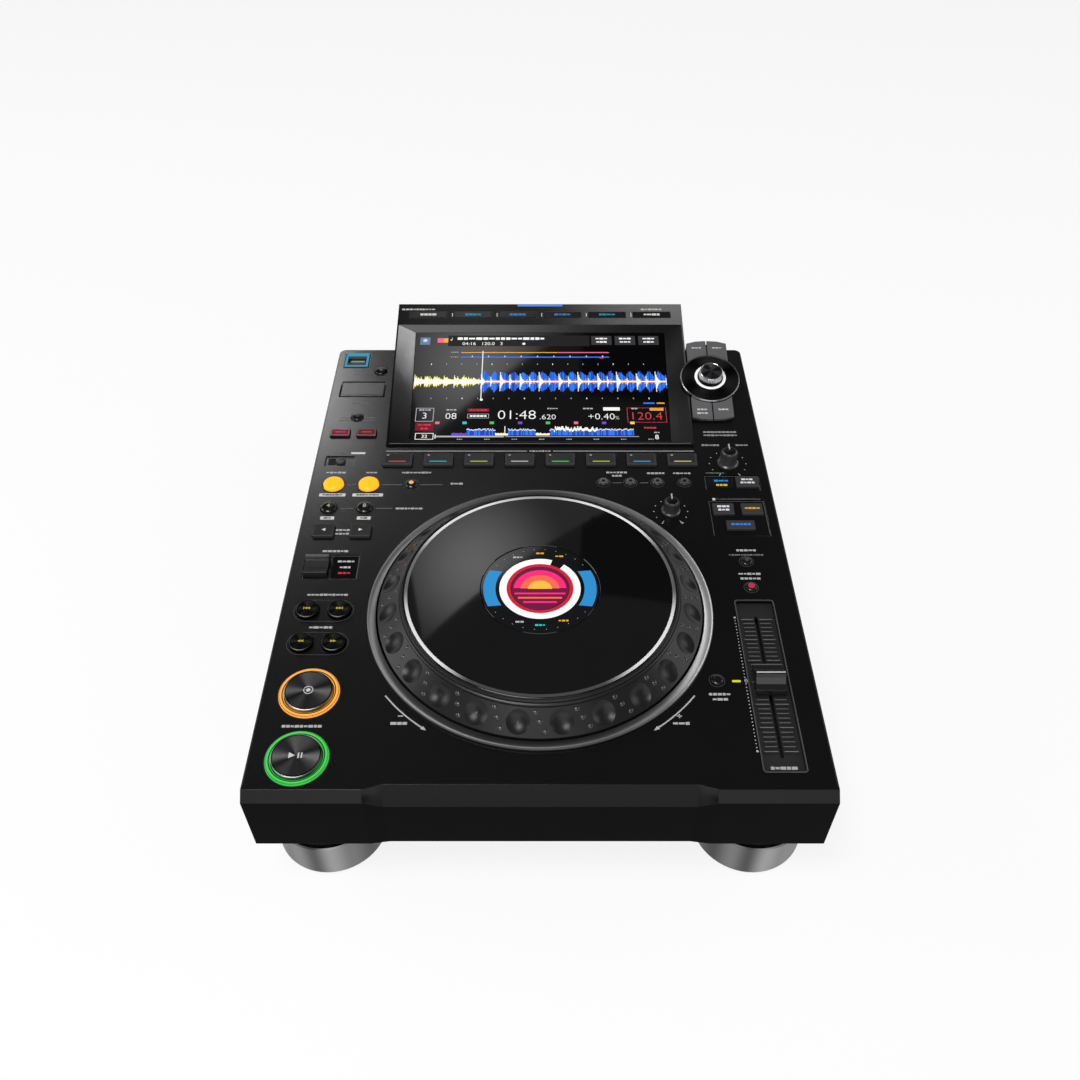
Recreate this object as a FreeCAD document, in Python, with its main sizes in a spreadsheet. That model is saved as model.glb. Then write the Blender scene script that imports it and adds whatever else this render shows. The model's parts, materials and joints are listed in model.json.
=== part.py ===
"""Tabletop media player with a jog wheel, a sloping display and a tempo slider.

Frame: +Z up, +Y towards the rear, origin under the middle of the outer box on the table.
All lengths are millimetres.
"""

import FreeCAD, Part
import math
import os
import re

import Sketcher

os.makedirs("parts", exist_ok=True)
doc = FreeCAD.newDocument("player")

# Driving dimensions: name, value, what it is
SIZES = [
    ("width", 329.0, "outer width of the case"),
    ("front_face", -226.5, "front face beside the centre section"),
    ("front_top", -220.7, "front edge of the flat deck beside the centre section"),
    ("front_chamfer_low", 88.6, "lower edge of the side chamfers"),
    ("centre_face", -225.0, "front face of the centre section"),
    ("centre_top", -217.5, "front edge of the flat deck in the centre section"),
    ("centre_chamfer_low", 82.5, "lower edge of the centre chamfer"),
    ("centre_half", 87.0, "half width of the centre section"),
    ("facet_half", 98.0, "half width out to the end of the slanting facets"),
    ("deck_rear", 196.6, "rear face of the case"),
    ("deck_top", 93.6, "height of the deck"),
    ("deck_thick", 3.0, "deck thickness"),
    ("wall", 3.0, "case wall thickness"),
    ("skirt_low", 44.4, "lower edge of the case walls"),
    ("rear_corner", 5.0, "radius of the rear corners"),
    ("pan_low", 46.0, "underside of the bottom pan"),
    ("pan_thick", 2.0, "thickness of the bottom pan"),
    ("seat", 0.3, "gap between pieces that seat on each other"),
    ("key_gap", 0.4, "gap round each key in its hole"),
    ("key_travel", 1.2, "how far a key goes down"),
    ("key_flange", 1.2, "width of the rim that keeps a key in"),
    ("key_stem", 2.0, "radius of a key's stem"),
    ("board_top", 80.0, "top of the boards under the deck"),
    ("board_thick", 1.6, "thickness of a circuit board"),
    ("switch_high", 1.8, "height from the board to the end of a key's stem"),
    # jog wheel
    ("jog_y", -87.1, "centre of the jog wheel, back from the middle"),
    ("jog_hole", 104.0, "radius of the deck opening for the wheel"),
    ("ring_in", 103.5, "inner radius of the fixed ring"),
    ("ring_out", 109.6, "outer radius of the fixed ring"),
    ("ring_top", 96.6, "top of the fixed ring"),
    ("rim_radius", 102.5, "outer radius of the turning wheel"),
    ("rim_high", 97.0, "height where the wheel's slope begins"),
    ("slope_radius", 88.6, "radius where the slope ends"),
    ("slope_high", 107.6, "height where the slope ends"),
    ("plate_radius", 85.4, "radius of the wheel's top plate"),
    ("plate_top", 111.8, "height of the top plate"),
    ("plate_thick", 2.0, "thickness of the top plate"),
    ("display_radius", 37.2, "radius of the small round display"),
    ("post_radius", 18.0, "radius of the fixed post that the wheel turns on"),
    ("post_high", 105.2, "top of the post"),
    ("bowl_low", 60.0, "underside of the bowl below the wheel"),
    ("bowl_floor", 4.0, "thickness of the bowl's floor"),
    ("bowl_wall", 3.0, "thickness of the bowl's wall"),
    ("dimple_radius", 7.3, "radius of a finger dimple at the surface"),
    ("dimple_deep", 2.2, "depth of a finger dimple"),
    ("dimple_count", 24, "number of finger dimples"),
    # display housing
    ("house_half", 116.5, "half width of the display housing at the rear"),
    ("house_front_half", 114.3, "half width of the display housing at the front"),
    ("house_front", 73.0, "front edge of the display housing"),
    ("house_front_high", 95.0, "height of the housing at its front edge"),
    ("house_rear", 226.5, "rear edge of the display housing"),
    ("house_top", 118.0, "height of the housing at its rear edge"),
    ("house_lip", 5.0, "height of the housing's rear edge"),
    ("house_foot", 200.0, "where the housing's underside meets the rear face"),
    ("tub_low", 87.0, "underside of the part that is sunk into the deck"),
    ("tub_half", 107.0, "half width of the sunk part"),
    ("tub_front", 76.0, "front of the sunk part"),
    ("tub_rear", 188.0, "rear of the sunk part"),
    ("screen_front", 75.5, "front edge of the screen"),
    ("screen_rear", 197.0, "rear edge of the screen"),
    ("screen_front_high", 94.9, "height of the screen's front edge"),
    ("screen_rear_high", 110.0, "height of the screen's rear edge"),
    ("screen_front_half", 97.5, "half width of the screen at the front"),
    ("screen_rear_half", 101.0, "half width of the screen at the rear"),
    ("bezel_rear", 202.0, "rear edge of the sunk bezel"),
    ("glass_thick", 2.0, "thickness of the screen glass"),
    ("ledge", 3.0, "width of the ledge under the glass"),
    ("menu_pitch", 36.6, "distance between the keys above the screen"),
    ("menu_wide", 30.0, "width of a key above the screen"),
    ("menu_deep", 6.4, "depth of a key above the screen"),
    ("menu_y", 213.6, "row of the keys above the screen"),
    # feet
    ("foot_x", 130.2, "distance of the feet from the middle"),
    ("foot_front", -188.5, "row of the front feet"),
    ("foot_rear", 165.0, "row of the rear feet"),
    ("foot_radius", 34.2, "outer radius of a foot"),
    ("foot_wall", 3.0, "thickness of the metal sleeve of a foot"),
    ("foot_high", 30.0, "top of the metal sleeve"),
    ("pad_high", 2.0, "height of the rubber under the sleeve"),
    ("neck_radius", 22.0, "radius of the neck above a foot"),
    # selector
    ("selector_x", 131.9, "centre of the selector"),
    ("selector_y", 138.6, "centre of the selector"),
    ("selector_high", 105.9, "height of the selector's sloping face at its centre"),
    ("selector_tilt", 14.0, "slope of the selector towards the front, degrees"),
    ("selector_half", 15.7, "half width of the selector block"),
    ("selector_reach", 39.0, "half length of the selector block"),
    ("disc_radius", 22.8, "radius of the disc under the knob"),
    ("disc_low", 0.9, "underside of the disc above the selector's sloping face"),
    ("disc_high", 2.2, "top of the disc above the selector's sloping face"),
    ("selector_knob", 9.25, "radius of the selector knob"),
    ("selector_rise", 8.2, "height of the selector knob"),
    # columns and rows of keys, centre positions on the deck
    ("outer_x", 147.4, "outer column of keys"),
    ("inner_x", 127.3, "inner column of keys"),
    ("loop_x", 122.3, "inner column of loop keys"),
    ("transport_x", 136.6, "column of the two large keys"),
    ("cue_y", -155.1, "row of the cue key"),
    ("play_y", -200.6, "row of the play key"),
    ("transport_key", 14.4, "radius of a large key"),
    ("transport_ring", 17.85, "outer radius of a light ring"),
    ("light_in", 15.0, "inner radius of a light ring"),
    ("transport_rise", 3.2, "height of a large key"),
    ("ring_rise", 1.2, "height of a light ring above the deck"),
    ("search_y", -117.0, "row of the search keys"),
    ("track_y", -90.0, "row of the track keys"),
    ("search_key", 7.2, "radius of a search key"),
    ("direction_x", 138.1, "centre of the direction window"),
    ("direction_y", -51.2, "row of the direction window"),
    ("direction_wide", 36.0, "width of the direction window"),
    ("direction_deep", 22.0, "depth of the direction window"),
    ("lever_x", 147.6, "centre of the direction lever"),
    ("lever_wide", 15.5, "width of the direction lever"),
    ("lever_deep", 15.0, "depth of the direction lever"),
    ("lever_axis", 84.0, "height of the direction lever's pivot"),
    ("lever_radius", 10.4, "radius of the lever's curved saddle"),
    ("lever_pin", 1.5, "radius of the lever's pivot pin"),
    ("jump_y", -18.4, "row of the beat jump keys"),
    ("jump_wide", 14.0, "width of a beat jump key"),
    ("jump_deep", 11.6, "depth of a beat jump key"),
    ("beat_y", 5.2, "row of the beat loop keys"),
    ("beat_key", 5.5, "radius of a beat loop key"),
    ("loop_y", 30.0, "row of the loop keys"),
    ("loop_key", 7.2, "radius of a loop key"),
    ("reloop_x", 91.8, "reloop key"),
    ("reloop_key", 4.6, "radius of the reloop key"),
    ("call_x", 146.0, "call key"),
    ("call_y", 56.0, "row of the call key"),
    ("call_key", 3.4, "radius of the call key"),
    ("mode_y", 87.2, "row of the two red keys"),
    ("mode_wide", 14.4, "width of a red key"),
    ("mode_deep", 7.6, "depth of a red key"),
    ("mode_inner_x", 130.2, "inner red key"),
    ("time_x", 139.8, "time key"),
    ("time_y", 107.0, "row of the time key"),
    ("time_key", 4.2, "radius of the time key"),
    ("stop_x", 128.0, "media stop key"),
    ("stop_y", 166.6, "row of the media stop key"),
    ("stop_key", 4.6, "radius of the media stop key"),
    ("usb_x", 148.8, "centre of the upper memory socket"),
    ("usb_y", 181.6, "row of the upper memory socket"),
    ("usb_wide", 19.6, "width of the socket's frame"),
    ("usb_deep", 19.0, "depth of the socket's frame"),
    ("usb_slot_wide", 13.4, "width of the socket's opening"),
    ("usb_slot_deep", 5.6, "depth of the socket's opening"),
    ("lid_x", 139.8, "centre of the card lid"),
    ("lid_front", 134.0, "front edge of the card lid"),
    ("lid_rear", 151.4, "pivot row of the card lid"),
    ("lid_wide", 33.0, "width of the card lid"),
    ("lid_thick", 2.4, "thickness of the card lid"),
    ("lid_pin", 0.8, "radius of the lid's pins"),
    ("pin_gap", 0.08, "running gap round a pin"),
    ("well_low", 83.6, "underside of the card well"),
    ("hot_pitch", 29.7, "distance between the hot cue keys"),
    ("hot_count", 8, "number of hot cue keys"),
    ("hot_y", 56.2, "row of the hot cue keys"),
    ("hot_wide", 21.4, "width of a hot cue key"),
    ("hot_deep", 12.6, "depth of a hot cue key"),
    ("memory_y", 32.0, "row of the memory keys"),
    ("memory_key", 4.0, "radius of a memory key"),
    ("memory_first", 45.4, "first memory key"),
    ("memory_pitch", 19.3, "distance between the memory keys"),
    ("adjust_x", 91.0, "jog adjust knob"),
    ("adjust_y", 2.0, "row of the jog adjust knob"),
    ("adjust_knob", 6.6, "radius of the jog adjust knob"),
    ("adjust_rise", 10.5, "height of the jog adjust knob"),
    ("column_x", 136.9, "column of the tempo controls"),
    ("speed_y", 53.0, "row of the speed knob"),
    ("speed_knob", 7.6, "radius of the speed knob"),
    ("speed_rise", 12.0, "height of the speed knob"),
    ("shaft_radius", 3.0, "radius of a knob's shaft"),
    ("vinyl_x", 148.2, "jog mode key"),
    ("vinyl_y", 32.6, "row of the jog mode key"),
    ("vinyl_wide", 15.6, "width of the jog mode key"),
    ("vinyl_deep", 10.6, "depth of the jog mode key"),
    ("sync_y", 4.4, "row of the two sync keys"),
    ("sync_wide", 14.6, "width of a sync key"),
    ("sync_deep", 11.0, "depth of a sync key"),
    ("sync_gap", 20.0, "distance between the sync keys"),
    ("keysync_y", -11.8, "row of the lower sync key"),
    ("keysync_wide", 19.4, "width of the lower sync key"),
    ("keysync_deep", 8.6, "depth of the lower sync key"),
    ("range_y", -46.6, "row of the tempo range key"),
    ("lock_y", -70.0, "row of the tempo lock key"),
    ("small_key", 3.8, "radius of a small key"),
    ("reset_x", 105.8, "tempo reset key"),
    ("fader_y", -145.8, "middle of the tempo slider"),
    ("fader_travel", 50.0, "travel of the tempo slider each way"),
    ("fader_wide", 24.0, "width of the slider's recess"),
    ("fader_long", 128.0, "length of the slider's recess"),
    ("fader_shift", 0.5, "how far the recess lies behind the slider's middle"),
    ("fader_floor", 91.0, "top of the slider's floor"),
    ("fader_plate", 2.0, "thickness of the slider's plate"),
    ("fader_slot", 2.0, "width of the slider's slot"),
    ("fader_blade", 1.2, "thickness of the slider's blade"),
    ("blade_long", 5.0, "length of the slider's blade"),
    ("cap_wide", 17.6, "width of the slider's cap"),
    ("cap_half", 10.1, "half length of the slider's cap"),
    ("cap_top", 101.9, "height of the cap's ridge"),
    ("cap_lip", 97.0, "height of the cap's ends"),
    ("cap_gap", 1.2, "gap between the slider's floor and its cap"),
    ("recess_deep", 1.0, "depth of the shallow recesses"),
    # inside
    ("boss_x", 157.5, "columns of the long bosses"),
    ("boss_radius", 3.0, "radius of a boss"),
    ("screw_radius", 1.4, "radius of a screw"),
    ("screw_head", 2.8, "radius of a screw's head"),
    ("head_high", 1.2, "height of a screw's head"),
    ("screw_long", 8.0, "length of a case screw"),
    # rear
    ("window_half", 148.0, "half width of the rear window"),
    ("window_low", 52.0, "lower edge of the rear window"),
    ("window_high", 86.0, "upper edge of the rear window"),
    ("panel_lap", 3.6, "how far the rear panel laps the case"),
    ("panel_thick", 2.0, "thickness of the rear panel"),
    ("socket_row", 66.0, "height of the rear sockets"),
    ("inlet_x", -120.0, "mains inlet"),
    ("inlet_wide", 27.0, "width of the mains inlet"),
    ("inlet_tall", 20.0, "height of the mains inlet"),
    ("power_x", -82.0, "power key"),
    ("power_wide", 12.0, "width of the power key"),
    ("power_tall", 9.0, "height of the power key"),
    ("network_x", -20.0, "network socket"),
    ("network_wide", 16.0, "width of the network socket"),
    ("network_tall", 13.4, "height of the network socket"),
    ("data_x", 10.0, "computer socket"),
    ("data_wide", 12.0, "width of the computer socket"),
    ("data_tall", 11.0, "height of the computer socket"),
    ("phono_x", 60.0, "first phono socket"),
    ("phono_pitch", 22.0, "distance between the phono sockets"),
    ("phono_radius", 4.15, "radius of a phono socket's barrel"),
    ("phono_long", 9.0, "length of a phono socket's barrel"),
]

sheet = doc.addObject("Spreadsheet::Sheet", "Sizes")
for row, (alias, value, meaning) in enumerate(SIZES, start=1):
    sheet.set(f"A{row}", meaning)
    sheet.set(f"B{row}", str(value))
    sheet.setAlias(f"B{row}", alias)
doc.recompute()
NAMES = {alias for alias, value, meaning in SIZES}
nodes = []


def bound(text):
    """The expression with each size's name turned into its cell in the sheet."""
    return re.sub(r"[a-z][a-z_]+", lambda word: "Sizes." + word.group() if word.group() in NAMES else word.group(),
                  str(text))


def number(text):
    """The present value of an expression."""
    found = sheet.evalExpression(bound(text))
    return float(getattr(found, "Value", found))


def new_body(label, x="0", y="0", z="0"):
    """An empty body whose place follows the sheet."""
    made = doc.addObject("PartDesign::Body", label)
    made.Label = label
    made.AllowCompound = True
    for axis, text in (("x", x), ("y", y), ("z", z)):
        if text != "0":
            made.setExpression(f"Placement.Base.{axis}", bound(text))
    nodes.append(made)
    return made


def new_sketch(owner, name, role="XY_Plane", offset="0"):
    """A sketch on one of the body's own planes, moved along that plane's normal."""
    made = owner.newObject("Sketcher::SketchObject", name)
    base = [item for item in owner.Origin.OriginFeatures if item.Role == role][0]
    made.AttachmentSupport = [(base, "")]
    made.MapMode = "FlatFace"
    if offset != "0":
        made.setExpression("AttachmentOffset.Base.z", bound(offset))
    return made


def hold(sketch, kind, where, text):
    """Binds one dimension of a sketch to the sheet."""
    index = sketch.addConstraint(Sketcher.Constraint(kind, *where, number(text)))
    sketch.setExpression(f"Constraints[{index}]", bound(text))


def point(x, y):
    return FreeCAD.Vector(number(x), number(y), 0)


def circle(sketch, radius, x="0", y="0"):
    made = sketch.addGeometry(Part.Circle(point(x, y), FreeCAD.Vector(0, 0, 1), number(radius)))
    hold(sketch, "Radius", (made,), radius)
    hold(sketch, "DistanceX", (-1, 1, made, 3), x)
    hold(sketch, "DistanceY", (-1, 1, made, 3), y)


def polygon(sketch, corners):
    """A closed outline of straight sides through corners given as pairs of expressions."""
    count = len(corners)
    ends = [point(x, y) for x, y in corners]
    lines = [sketch.addGeometry(Part.LineSegment(ends[i], ends[(i + 1) % count])) for i in range(count)]
    for i in range(count):
        sketch.addConstraint(Sketcher.Constraint("Coincident", lines[i], 2, lines[(i + 1) % count], 1))
    for line, (x, y) in zip(lines, corners):
        hold(sketch, "DistanceX", (-1, 1, line, 1), x)
        hold(sketch, "DistanceY", (-1, 1, line, 1), y)


def oblong(sketch, wide, deep, x="0", y="0"):
    """A rectangle about a centre."""
    left, right = f"({x}) - ({wide}) / 2", f"({x}) + ({wide}) / 2"
    near, far = f"({y}) - ({deep}) / 2", f"({y}) + ({deep}) / 2"
    polygon(sketch, [(left, near), (right, near), (right, far), (left, far)])


def finish_feature(owner, made, adds):
    """Recomputes a feature and makes sure that it added or removed material."""
    before = getattr(made, "BaseFeature", None)
    doc.recompute()
    if "Invalid" in made.State or "Error" in made.State or made.Shape.isNull():
        raise RuntimeError(f"{owner.Label}: {made.Name} failed")
    if before is not None and before.Shape.Volume > 0:
        change = made.Shape.Volume - before.Shape.Volume
        if (change <= 0) == adds:
            raise RuntimeError(f"{owner.Label}: {made.Name} changed the volume by {change:.3f}")
    return made


def slab(owner, name, draw, low, high):
    """Material between two heights; draw puts the outline in the sketch."""
    sketch = new_sketch(owner, name + "_outline", offset=low)
    draw(sketch)
    made = owner.newObject("PartDesign::Pad", name)
    made.Profile = sketch
    made.setExpression("Length", bound(f"({high}) - ({low})"))
    return finish_feature(owner, made, True)


def cut(owner, name, draw, low, high):
    """Space between two heights, cut downwards from the upper one."""
    sketch = new_sketch(owner, name + "_outline", offset=high)
    draw(sketch)
    made = owner.newObject("PartDesign::Pocket", name)
    made.Profile = sketch
    made.setExpression("Length", bound(f"({high}) - ({low})"))
    return finish_feature(owner, made, False)


def extrude_side(owner, name, corners, wide, kind="PartDesign::Pad"):
    """A profile seen from the side, carried out equally to left and right."""
    sketch = new_sketch(owner, name + "_outline", "YZ_Plane")
    polygon(sketch, corners)
    made = owner.newObject(kind, name)
    made.Profile = sketch
    made.SideType = "Symmetric"
    made.setExpression("Length", bound(wide))
    return finish_feature(owner, made, kind == "PartDesign::Pad")


def turn(owner, name, corners, kind="PartDesign::Revolution"):
    """A profile of radius and height turned about the body's upright axis."""
    sketch = new_sketch(owner, name + "_outline", "XZ_Plane")
    polygon(sketch, corners)
    made = owner.newObject(kind, name)
    made.Profile = sketch
    made.ReferenceAxis = (sketch, ["V_Axis"])
    made.Angle = 360
    return finish_feature(owner, made, kind == "PartDesign::Revolution")


def chamfer_top(owner, name, height, amount):
    """A chamfer along every edge that lies at one height."""
    base = owner.Tip
    level = number(height)
    found = [f"Edge{i + 1}" for i, edge in enumerate(base.Shape.Edges)
             if abs(edge.BoundBox.ZMin - level) < 1e-6 and abs(edge.BoundBox.ZMax - level) < 1e-6]
    made = owner.newObject("PartDesign::Chamfer", name)
    made.Base = (base, found)
    made.setExpression("Size", bound(amount))
    return finish_feature(owner, made, False)


# A key's own frame has its origin at its centre, level with the deck
KEY_FLANGE_TOP = "-deck_thick - seat"
KEY_FLANGE_LOW = "-deck_thick - seat - 1"
KEY_STEM_LOW = "board_top + switch_high - deck_top"


def round_key(label, x, y, radius, rise, dome="0.5"):
    """A round key: cap, retaining flange under the deck, and stem."""
    made = new_body(label, x, y, "deck_top")
    turn(made, label + "_cap", [
        ("0", KEY_STEM_LOW), ("key_stem", KEY_STEM_LOW), ("key_stem", KEY_FLANGE_LOW),
        (f"{radius} + key_flange", KEY_FLANGE_LOW), (f"{radius} + key_flange", KEY_FLANGE_TOP),
        (radius, KEY_FLANGE_TOP), (radius, f"({rise}) - ({dome})"), (f"({radius}) - 2 * ({dome})", rise), ("0", rise),
    ])
    return made


def square_key(label, x, y, wide, deep, rise, places=(("0", "0"),), dent="0"):
    """A four-sided key, or several on one carrier, with flange and stem."""
    made = new_body(label, x, y, "deck_top")

    def caps(sketch):
        for px, py in places:
            oblong(sketch, wide, deep, px, py)

    def flanges(sketch):
        for px, py in places:
            oblong(sketch, f"{wide} + 2 * key_flange", f"{deep} + 2 * key_flange", px, py)

    def stems(sketch):
        for px, py in places:
            circle(sketch, "key_stem", px, py)

    slab(made, label + "_caps", caps, KEY_FLANGE_LOW, rise)
    slab(made, label + "_flanges", flanges, KEY_FLANGE_LOW, KEY_FLANGE_TOP)
    slab(made, label + "_stems", stems, KEY_STEM_LOW, KEY_FLANGE_LOW)
    chamfer_top(made, label + "_edge", rise, "0.5")
    return made


# Places of the holes in the deck: keys on the left, keys on the right, and what stands on them
ROUND_KEYS = [
    ("cue_key", "-transport_x", "cue_y", "transport_key", "transport_rise"),
    ("play_key", "-transport_x", "play_y", "transport_key", "transport_rise"),
    ("search_back_key", "-outer_x", "search_y", "search_key", "2.6"),
    ("search_forward_key", "-inner_x", "search_y", "search_key", "2.6"),
    ("track_back_key", "-outer_x", "track_y", "search_key", "2.6"),
    ("track_forward_key", "-inner_x", "track_y", "search_key", "2.6"),
    ("half_loop_key", "-outer_x", "beat_y", "beat_key", "2.8"),
    ("double_loop_key", "-loop_x", "beat_y", "beat_key", "2.8"),
    ("loop_in_key", "-outer_x", "loop_y", "loop_key", "3.4"),
    ("loop_out_key", "-loop_x", "loop_y", "loop_key", "3.4"),
    ("reloop_key", "-reloop_x", "loop_y", "reloop_key", "2.4"),
    ("call_key", "-call_x", "call_y", "call_key", "0.8"),
    ("time_key", "-time_x", "time_y", "time_key", "2.0"),
    ("media_stop_key", "-stop_x", "stop_y", "stop_key", "2.0"),
    ("tempo_range_key", "column_x", "range_y", "small_key", "2.0"),
    ("tempo_lock_key", "column_x", "lock_y", "small_key", "2.0"),
    ("tempo_reset_key", "reset_x", "fader_y", "small_key", "2.2"),
]
SQUARE_KEYS = [
    ("jump_back_key", "-outer_x", "jump_y", "jump_wide", "jump_deep", "2.2"),
    ("jump_forward_key", "-loop_x", "jump_y", "jump_wide", "jump_deep", "2.2"),
    ("slip_key", "-outer_x - 2.6", "mode_y", "mode_wide", "mode_deep", "2.0"),
    ("quantize_key", "-mode_inner_x", "mode_y", "mode_wide", "mode_deep", "2.0"),
    ("jog_mode_key", "vinyl_x", "vinyl_y", "vinyl_wide", "vinyl_deep", "1.2"),
]
HOT_PLACES = [f"({i} - (hot_count - 1) / 2) * hot_pitch" for i in range(int(number("hot_count")))]
MEMORY_PLACES = [f"{i} * memory_pitch" for i in range(4)]
KNOBS = [
    ("speed_knob", "column_x", "speed_y", "speed_knob", "speed_rise"),
    ("jog_adjust_knob", "adjust_x", "adjust_y", "adjust_knob", "adjust_rise"),
]
BOSS_ROWS = ("foot_front - 25.5", "fader_y + 78", "speed_y + 17", "stop_y - 3.6")
HALF = "width / 2"
INSIDE = "width / 2 - wall"
UNDER_DECK = "deck_top - deck_thick"


def make_top_case():
    """Deck and walls in one moulding, open below, with every opening for the controls."""
    made = new_body("top_case")

    def plan(sketch):
        polygon(sketch, [(f"-{HALF}", "centre_top + 2"), (HALF, "centre_top + 2"),
                         (HALF, "deck_rear"), (f"-{HALF}", "deck_rear")])

    slab(made, "block", plan, "skirt_low", "deck_top")
    # The nose is a ruled loft: a plain profile at the sides and a deeper chamfer in the middle
    sections = []
    for place, top, face, low in (
            (f"-{HALF}", "front_top", "front_face", "front_chamfer_low"),
            ("-facet_half", "front_top", "front_face", "front_chamfer_low"),
            ("-centre_half", "centre_top", "centre_face", "centre_chamfer_low"),
            ("centre_half", "centre_top", "centre_face", "centre_chamfer_low"),
            ("facet_half", "front_top", "front_face", "front_chamfer_low"),
            (HALF, "front_top", "front_face", "front_chamfer_low")):
        sketch = new_sketch(made, f"nose_{len(sections)}", "YZ_Plane", place)
        polygon(sketch, [("centre_top + 2", "deck_top"), (top, "deck_top"), (face, low),
                         (face, "skirt_low"), ("centre_top + 2", "skirt_low")])
        sections.append(sketch)
    nose = made.newObject("PartDesign::AdditiveLoft", "nose")
    nose.Profile = sections[0]
    nose.Sections = sections[1:]
    nose.Ruled = True
    finish_feature(made, nose, True)

    rear = [f"Edge{i + 1}" for i, edge in enumerate(nose.Shape.Edges)
            if abs(edge.BoundBox.YMin - number("deck_rear")) < 1e-6 and edge.BoundBox.YLength < 1e-6
            and edge.BoundBox.XLength < 1e-6]
    corner = made.newObject("PartDesign::Fillet", "rear_corners")
    corner.Base = (nose, rear)
    corner.setExpression("Radius", bound("rear_corner"))
    finish_feature(made, corner, False)

    def hollow(sketch):
        polygon(sketch, [(f"-({INSIDE})", "front_face + 1.5 * wall"), (INSIDE, "front_face + 1.5 * wall"),
                         (INSIDE, "deck_rear - wall"), (f"-({INSIDE})", "deck_rear - wall")])

    # The chamfers thin the deck's front, so the hollow stops a little further back up there
    cut(made, "hollow", hollow, "skirt_low", "centre_chamfer_low - 2 * wall")

    def upper_hollow(sketch):
        polygon(sketch, [(f"-({INSIDE})", "centre_top + wall"), (INSIDE, "centre_top + wall"),
                         (INSIDE, "deck_rear - wall"), (f"-({INSIDE})", "deck_rear - wall")])

    cut(made, "upper_hollow", upper_hollow, "centre_chamfer_low - 2 * wall", UNDER_DECK)

    def front_hollows(sketch):
        for side in ("-", ""):
            polygon(sketch, [(f"{side}(facet_half + 2 * wall)", "front_top - 0.3"),
                             (f"{side}({INSIDE})", "front_top - 0.3"),
                             (f"{side}({INSIDE})", "centre_top + wall"),
                             (f"{side}(facet_half + 2 * wall)", "centre_top + wall")])

    cut(made, "front_hollows", front_hollows, "centre_chamfer_low - 2 * wall", UNDER_DECK)

    def well(sketch):
        oblong(sketch, "lid_wide + 2 * wall + 4", "lid_rear - lid_front + 2 * wall + 4", "-lid_x",
               "(lid_front + lid_rear) / 2")

    slab(made, "card_well", well, "well_low", UNDER_DECK)

    def bosses(sketch):
        for place in BOSS_ROWS:
            circle(sketch, "boss_radius", "-boss_x", place)
            circle(sketch, "boss_radius", "boss_x", place)

    slab(made, "case_bosses", bosses, "pan_low + pan_thick", UNDER_DECK)

    def board_bosses(sketch):
        for x, y in (("-outer_x + 31.4", "(cue_y + play_y) / 2"), ("-outer_x + 31.4", "mode_y - 12"),
                     ("outer_x - 31.4", "play_y - 4"), ("outer_x - 27.9", "speed_y + 8")):
            circle(sketch, "boss_radius - 0.5", x, y)
        circle(sketch, "boss_radius - 0.5", "-hot_pitch", "memory_y - 2")
        circle(sketch, "boss_radius - 0.5", "hot_pitch", "memory_y - 2")

    slab(made, "board_bosses", board_bosses, "board_top", UNDER_DECK)

    def lever_ears(sketch):
        for side in ("-", "+"):
            oblong(sketch, "2.6", "8", f"-lever_x {side} (lever_wide / 2 + key_gap + 1.3)", "direction_y")

    slab(made, "lever_ears", lever_ears, "lever_axis - 3", UNDER_DECK)
    bore = new_sketch(made, "lever_bore_outline", "YZ_Plane", "-lever_x")
    circle(bore, "lever_pin + pin_gap", "direction_y", "lever_axis")
    bores = made.newObject("PartDesign::Pocket", "lever_bores")
    bores.Profile = bore
    bores.SideType = "Symmetric"
    bores.setExpression("Length", bound("lever_wide + 2 * key_gap + 4.4"))
    finish_feature(made, bores, False)

    def recesses(sketch):
        oblong(sketch, "direction_wide", "direction_deep", "-direction_x", "direction_y")
        oblong(sketch, "mode_wide + 6.6", "3.2 * call_key", "-call_x - 0.5", "call_y")
        oblong(sketch, "39", "16", "column_x + 0.8", "vinyl_y - 0.2")
        oblong(sketch, "39", "36", "column_x + 1", "sync_y - 8.6")

    cut(made, "recesses", recesses, "deck_top - recess_deep", "deck_top")

    def round_holes(sketch):
        circle(sketch, "jog_hole", "0", "jog_y")
        for label, x, y, radius, rise in ROUND_KEYS:
            if radius == "transport_key":
                circle(sketch, "transport_ring + seat", x, y)
            else:
                circle(sketch, f"{radius} + key_gap", x, y)
        for place in MEMORY_PLACES:
            circle(sketch, "memory_key + key_gap", f"memory_first + {place}", "memory_y")
        for label, x, y, radius, rise in KNOBS:
            circle(sketch, "shaft_radius + key_gap", x, y)

    cut(made, "round_holes", round_holes, UNDER_DECK, "deck_top")

    def square_holes(sketch):
        for label, x, y, wide, deep, rise in SQUARE_KEYS:
            oblong(sketch, f"{wide} + 2 * key_gap", f"{deep} + 2 * key_gap", x, y)
        for place in HOT_PLACES:
            oblong(sketch, "hot_wide + 2 * key_gap", "hot_deep + 2 * key_gap", place, "hot_y")
        for side in ("-", "+"):
            oblong(sketch, "sync_wide + 2 * key_gap", "sync_deep + 2 * key_gap",
                   f"column_x + 1 {side} sync_gap / 2", "sync_y")
        oblong(sketch, "keysync_wide + 2 * key_gap", "keysync_deep + 2 * key_gap", "column_x + 1", "keysync_y")
        oblong(sketch, "fader_wide", "fader_long", "column_x", "fader_y + fader_shift")
        oblong(sketch, "lever_wide + 2 * key_gap", "lever_deep + 4.6", "-lever_x", "direction_y")
        oblong(sketch, "usb_wide + 2 * seat", "usb_deep + 2 * seat", "-usb_x", "usb_y")
        polygon(sketch, [("-tub_half - seat", "tub_front - seat"), ("tub_half + seat", "tub_front - seat"),
                         ("tub_half + seat", "tub_rear + seat"), ("-tub_half - seat", "tub_rear + seat")])

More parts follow.
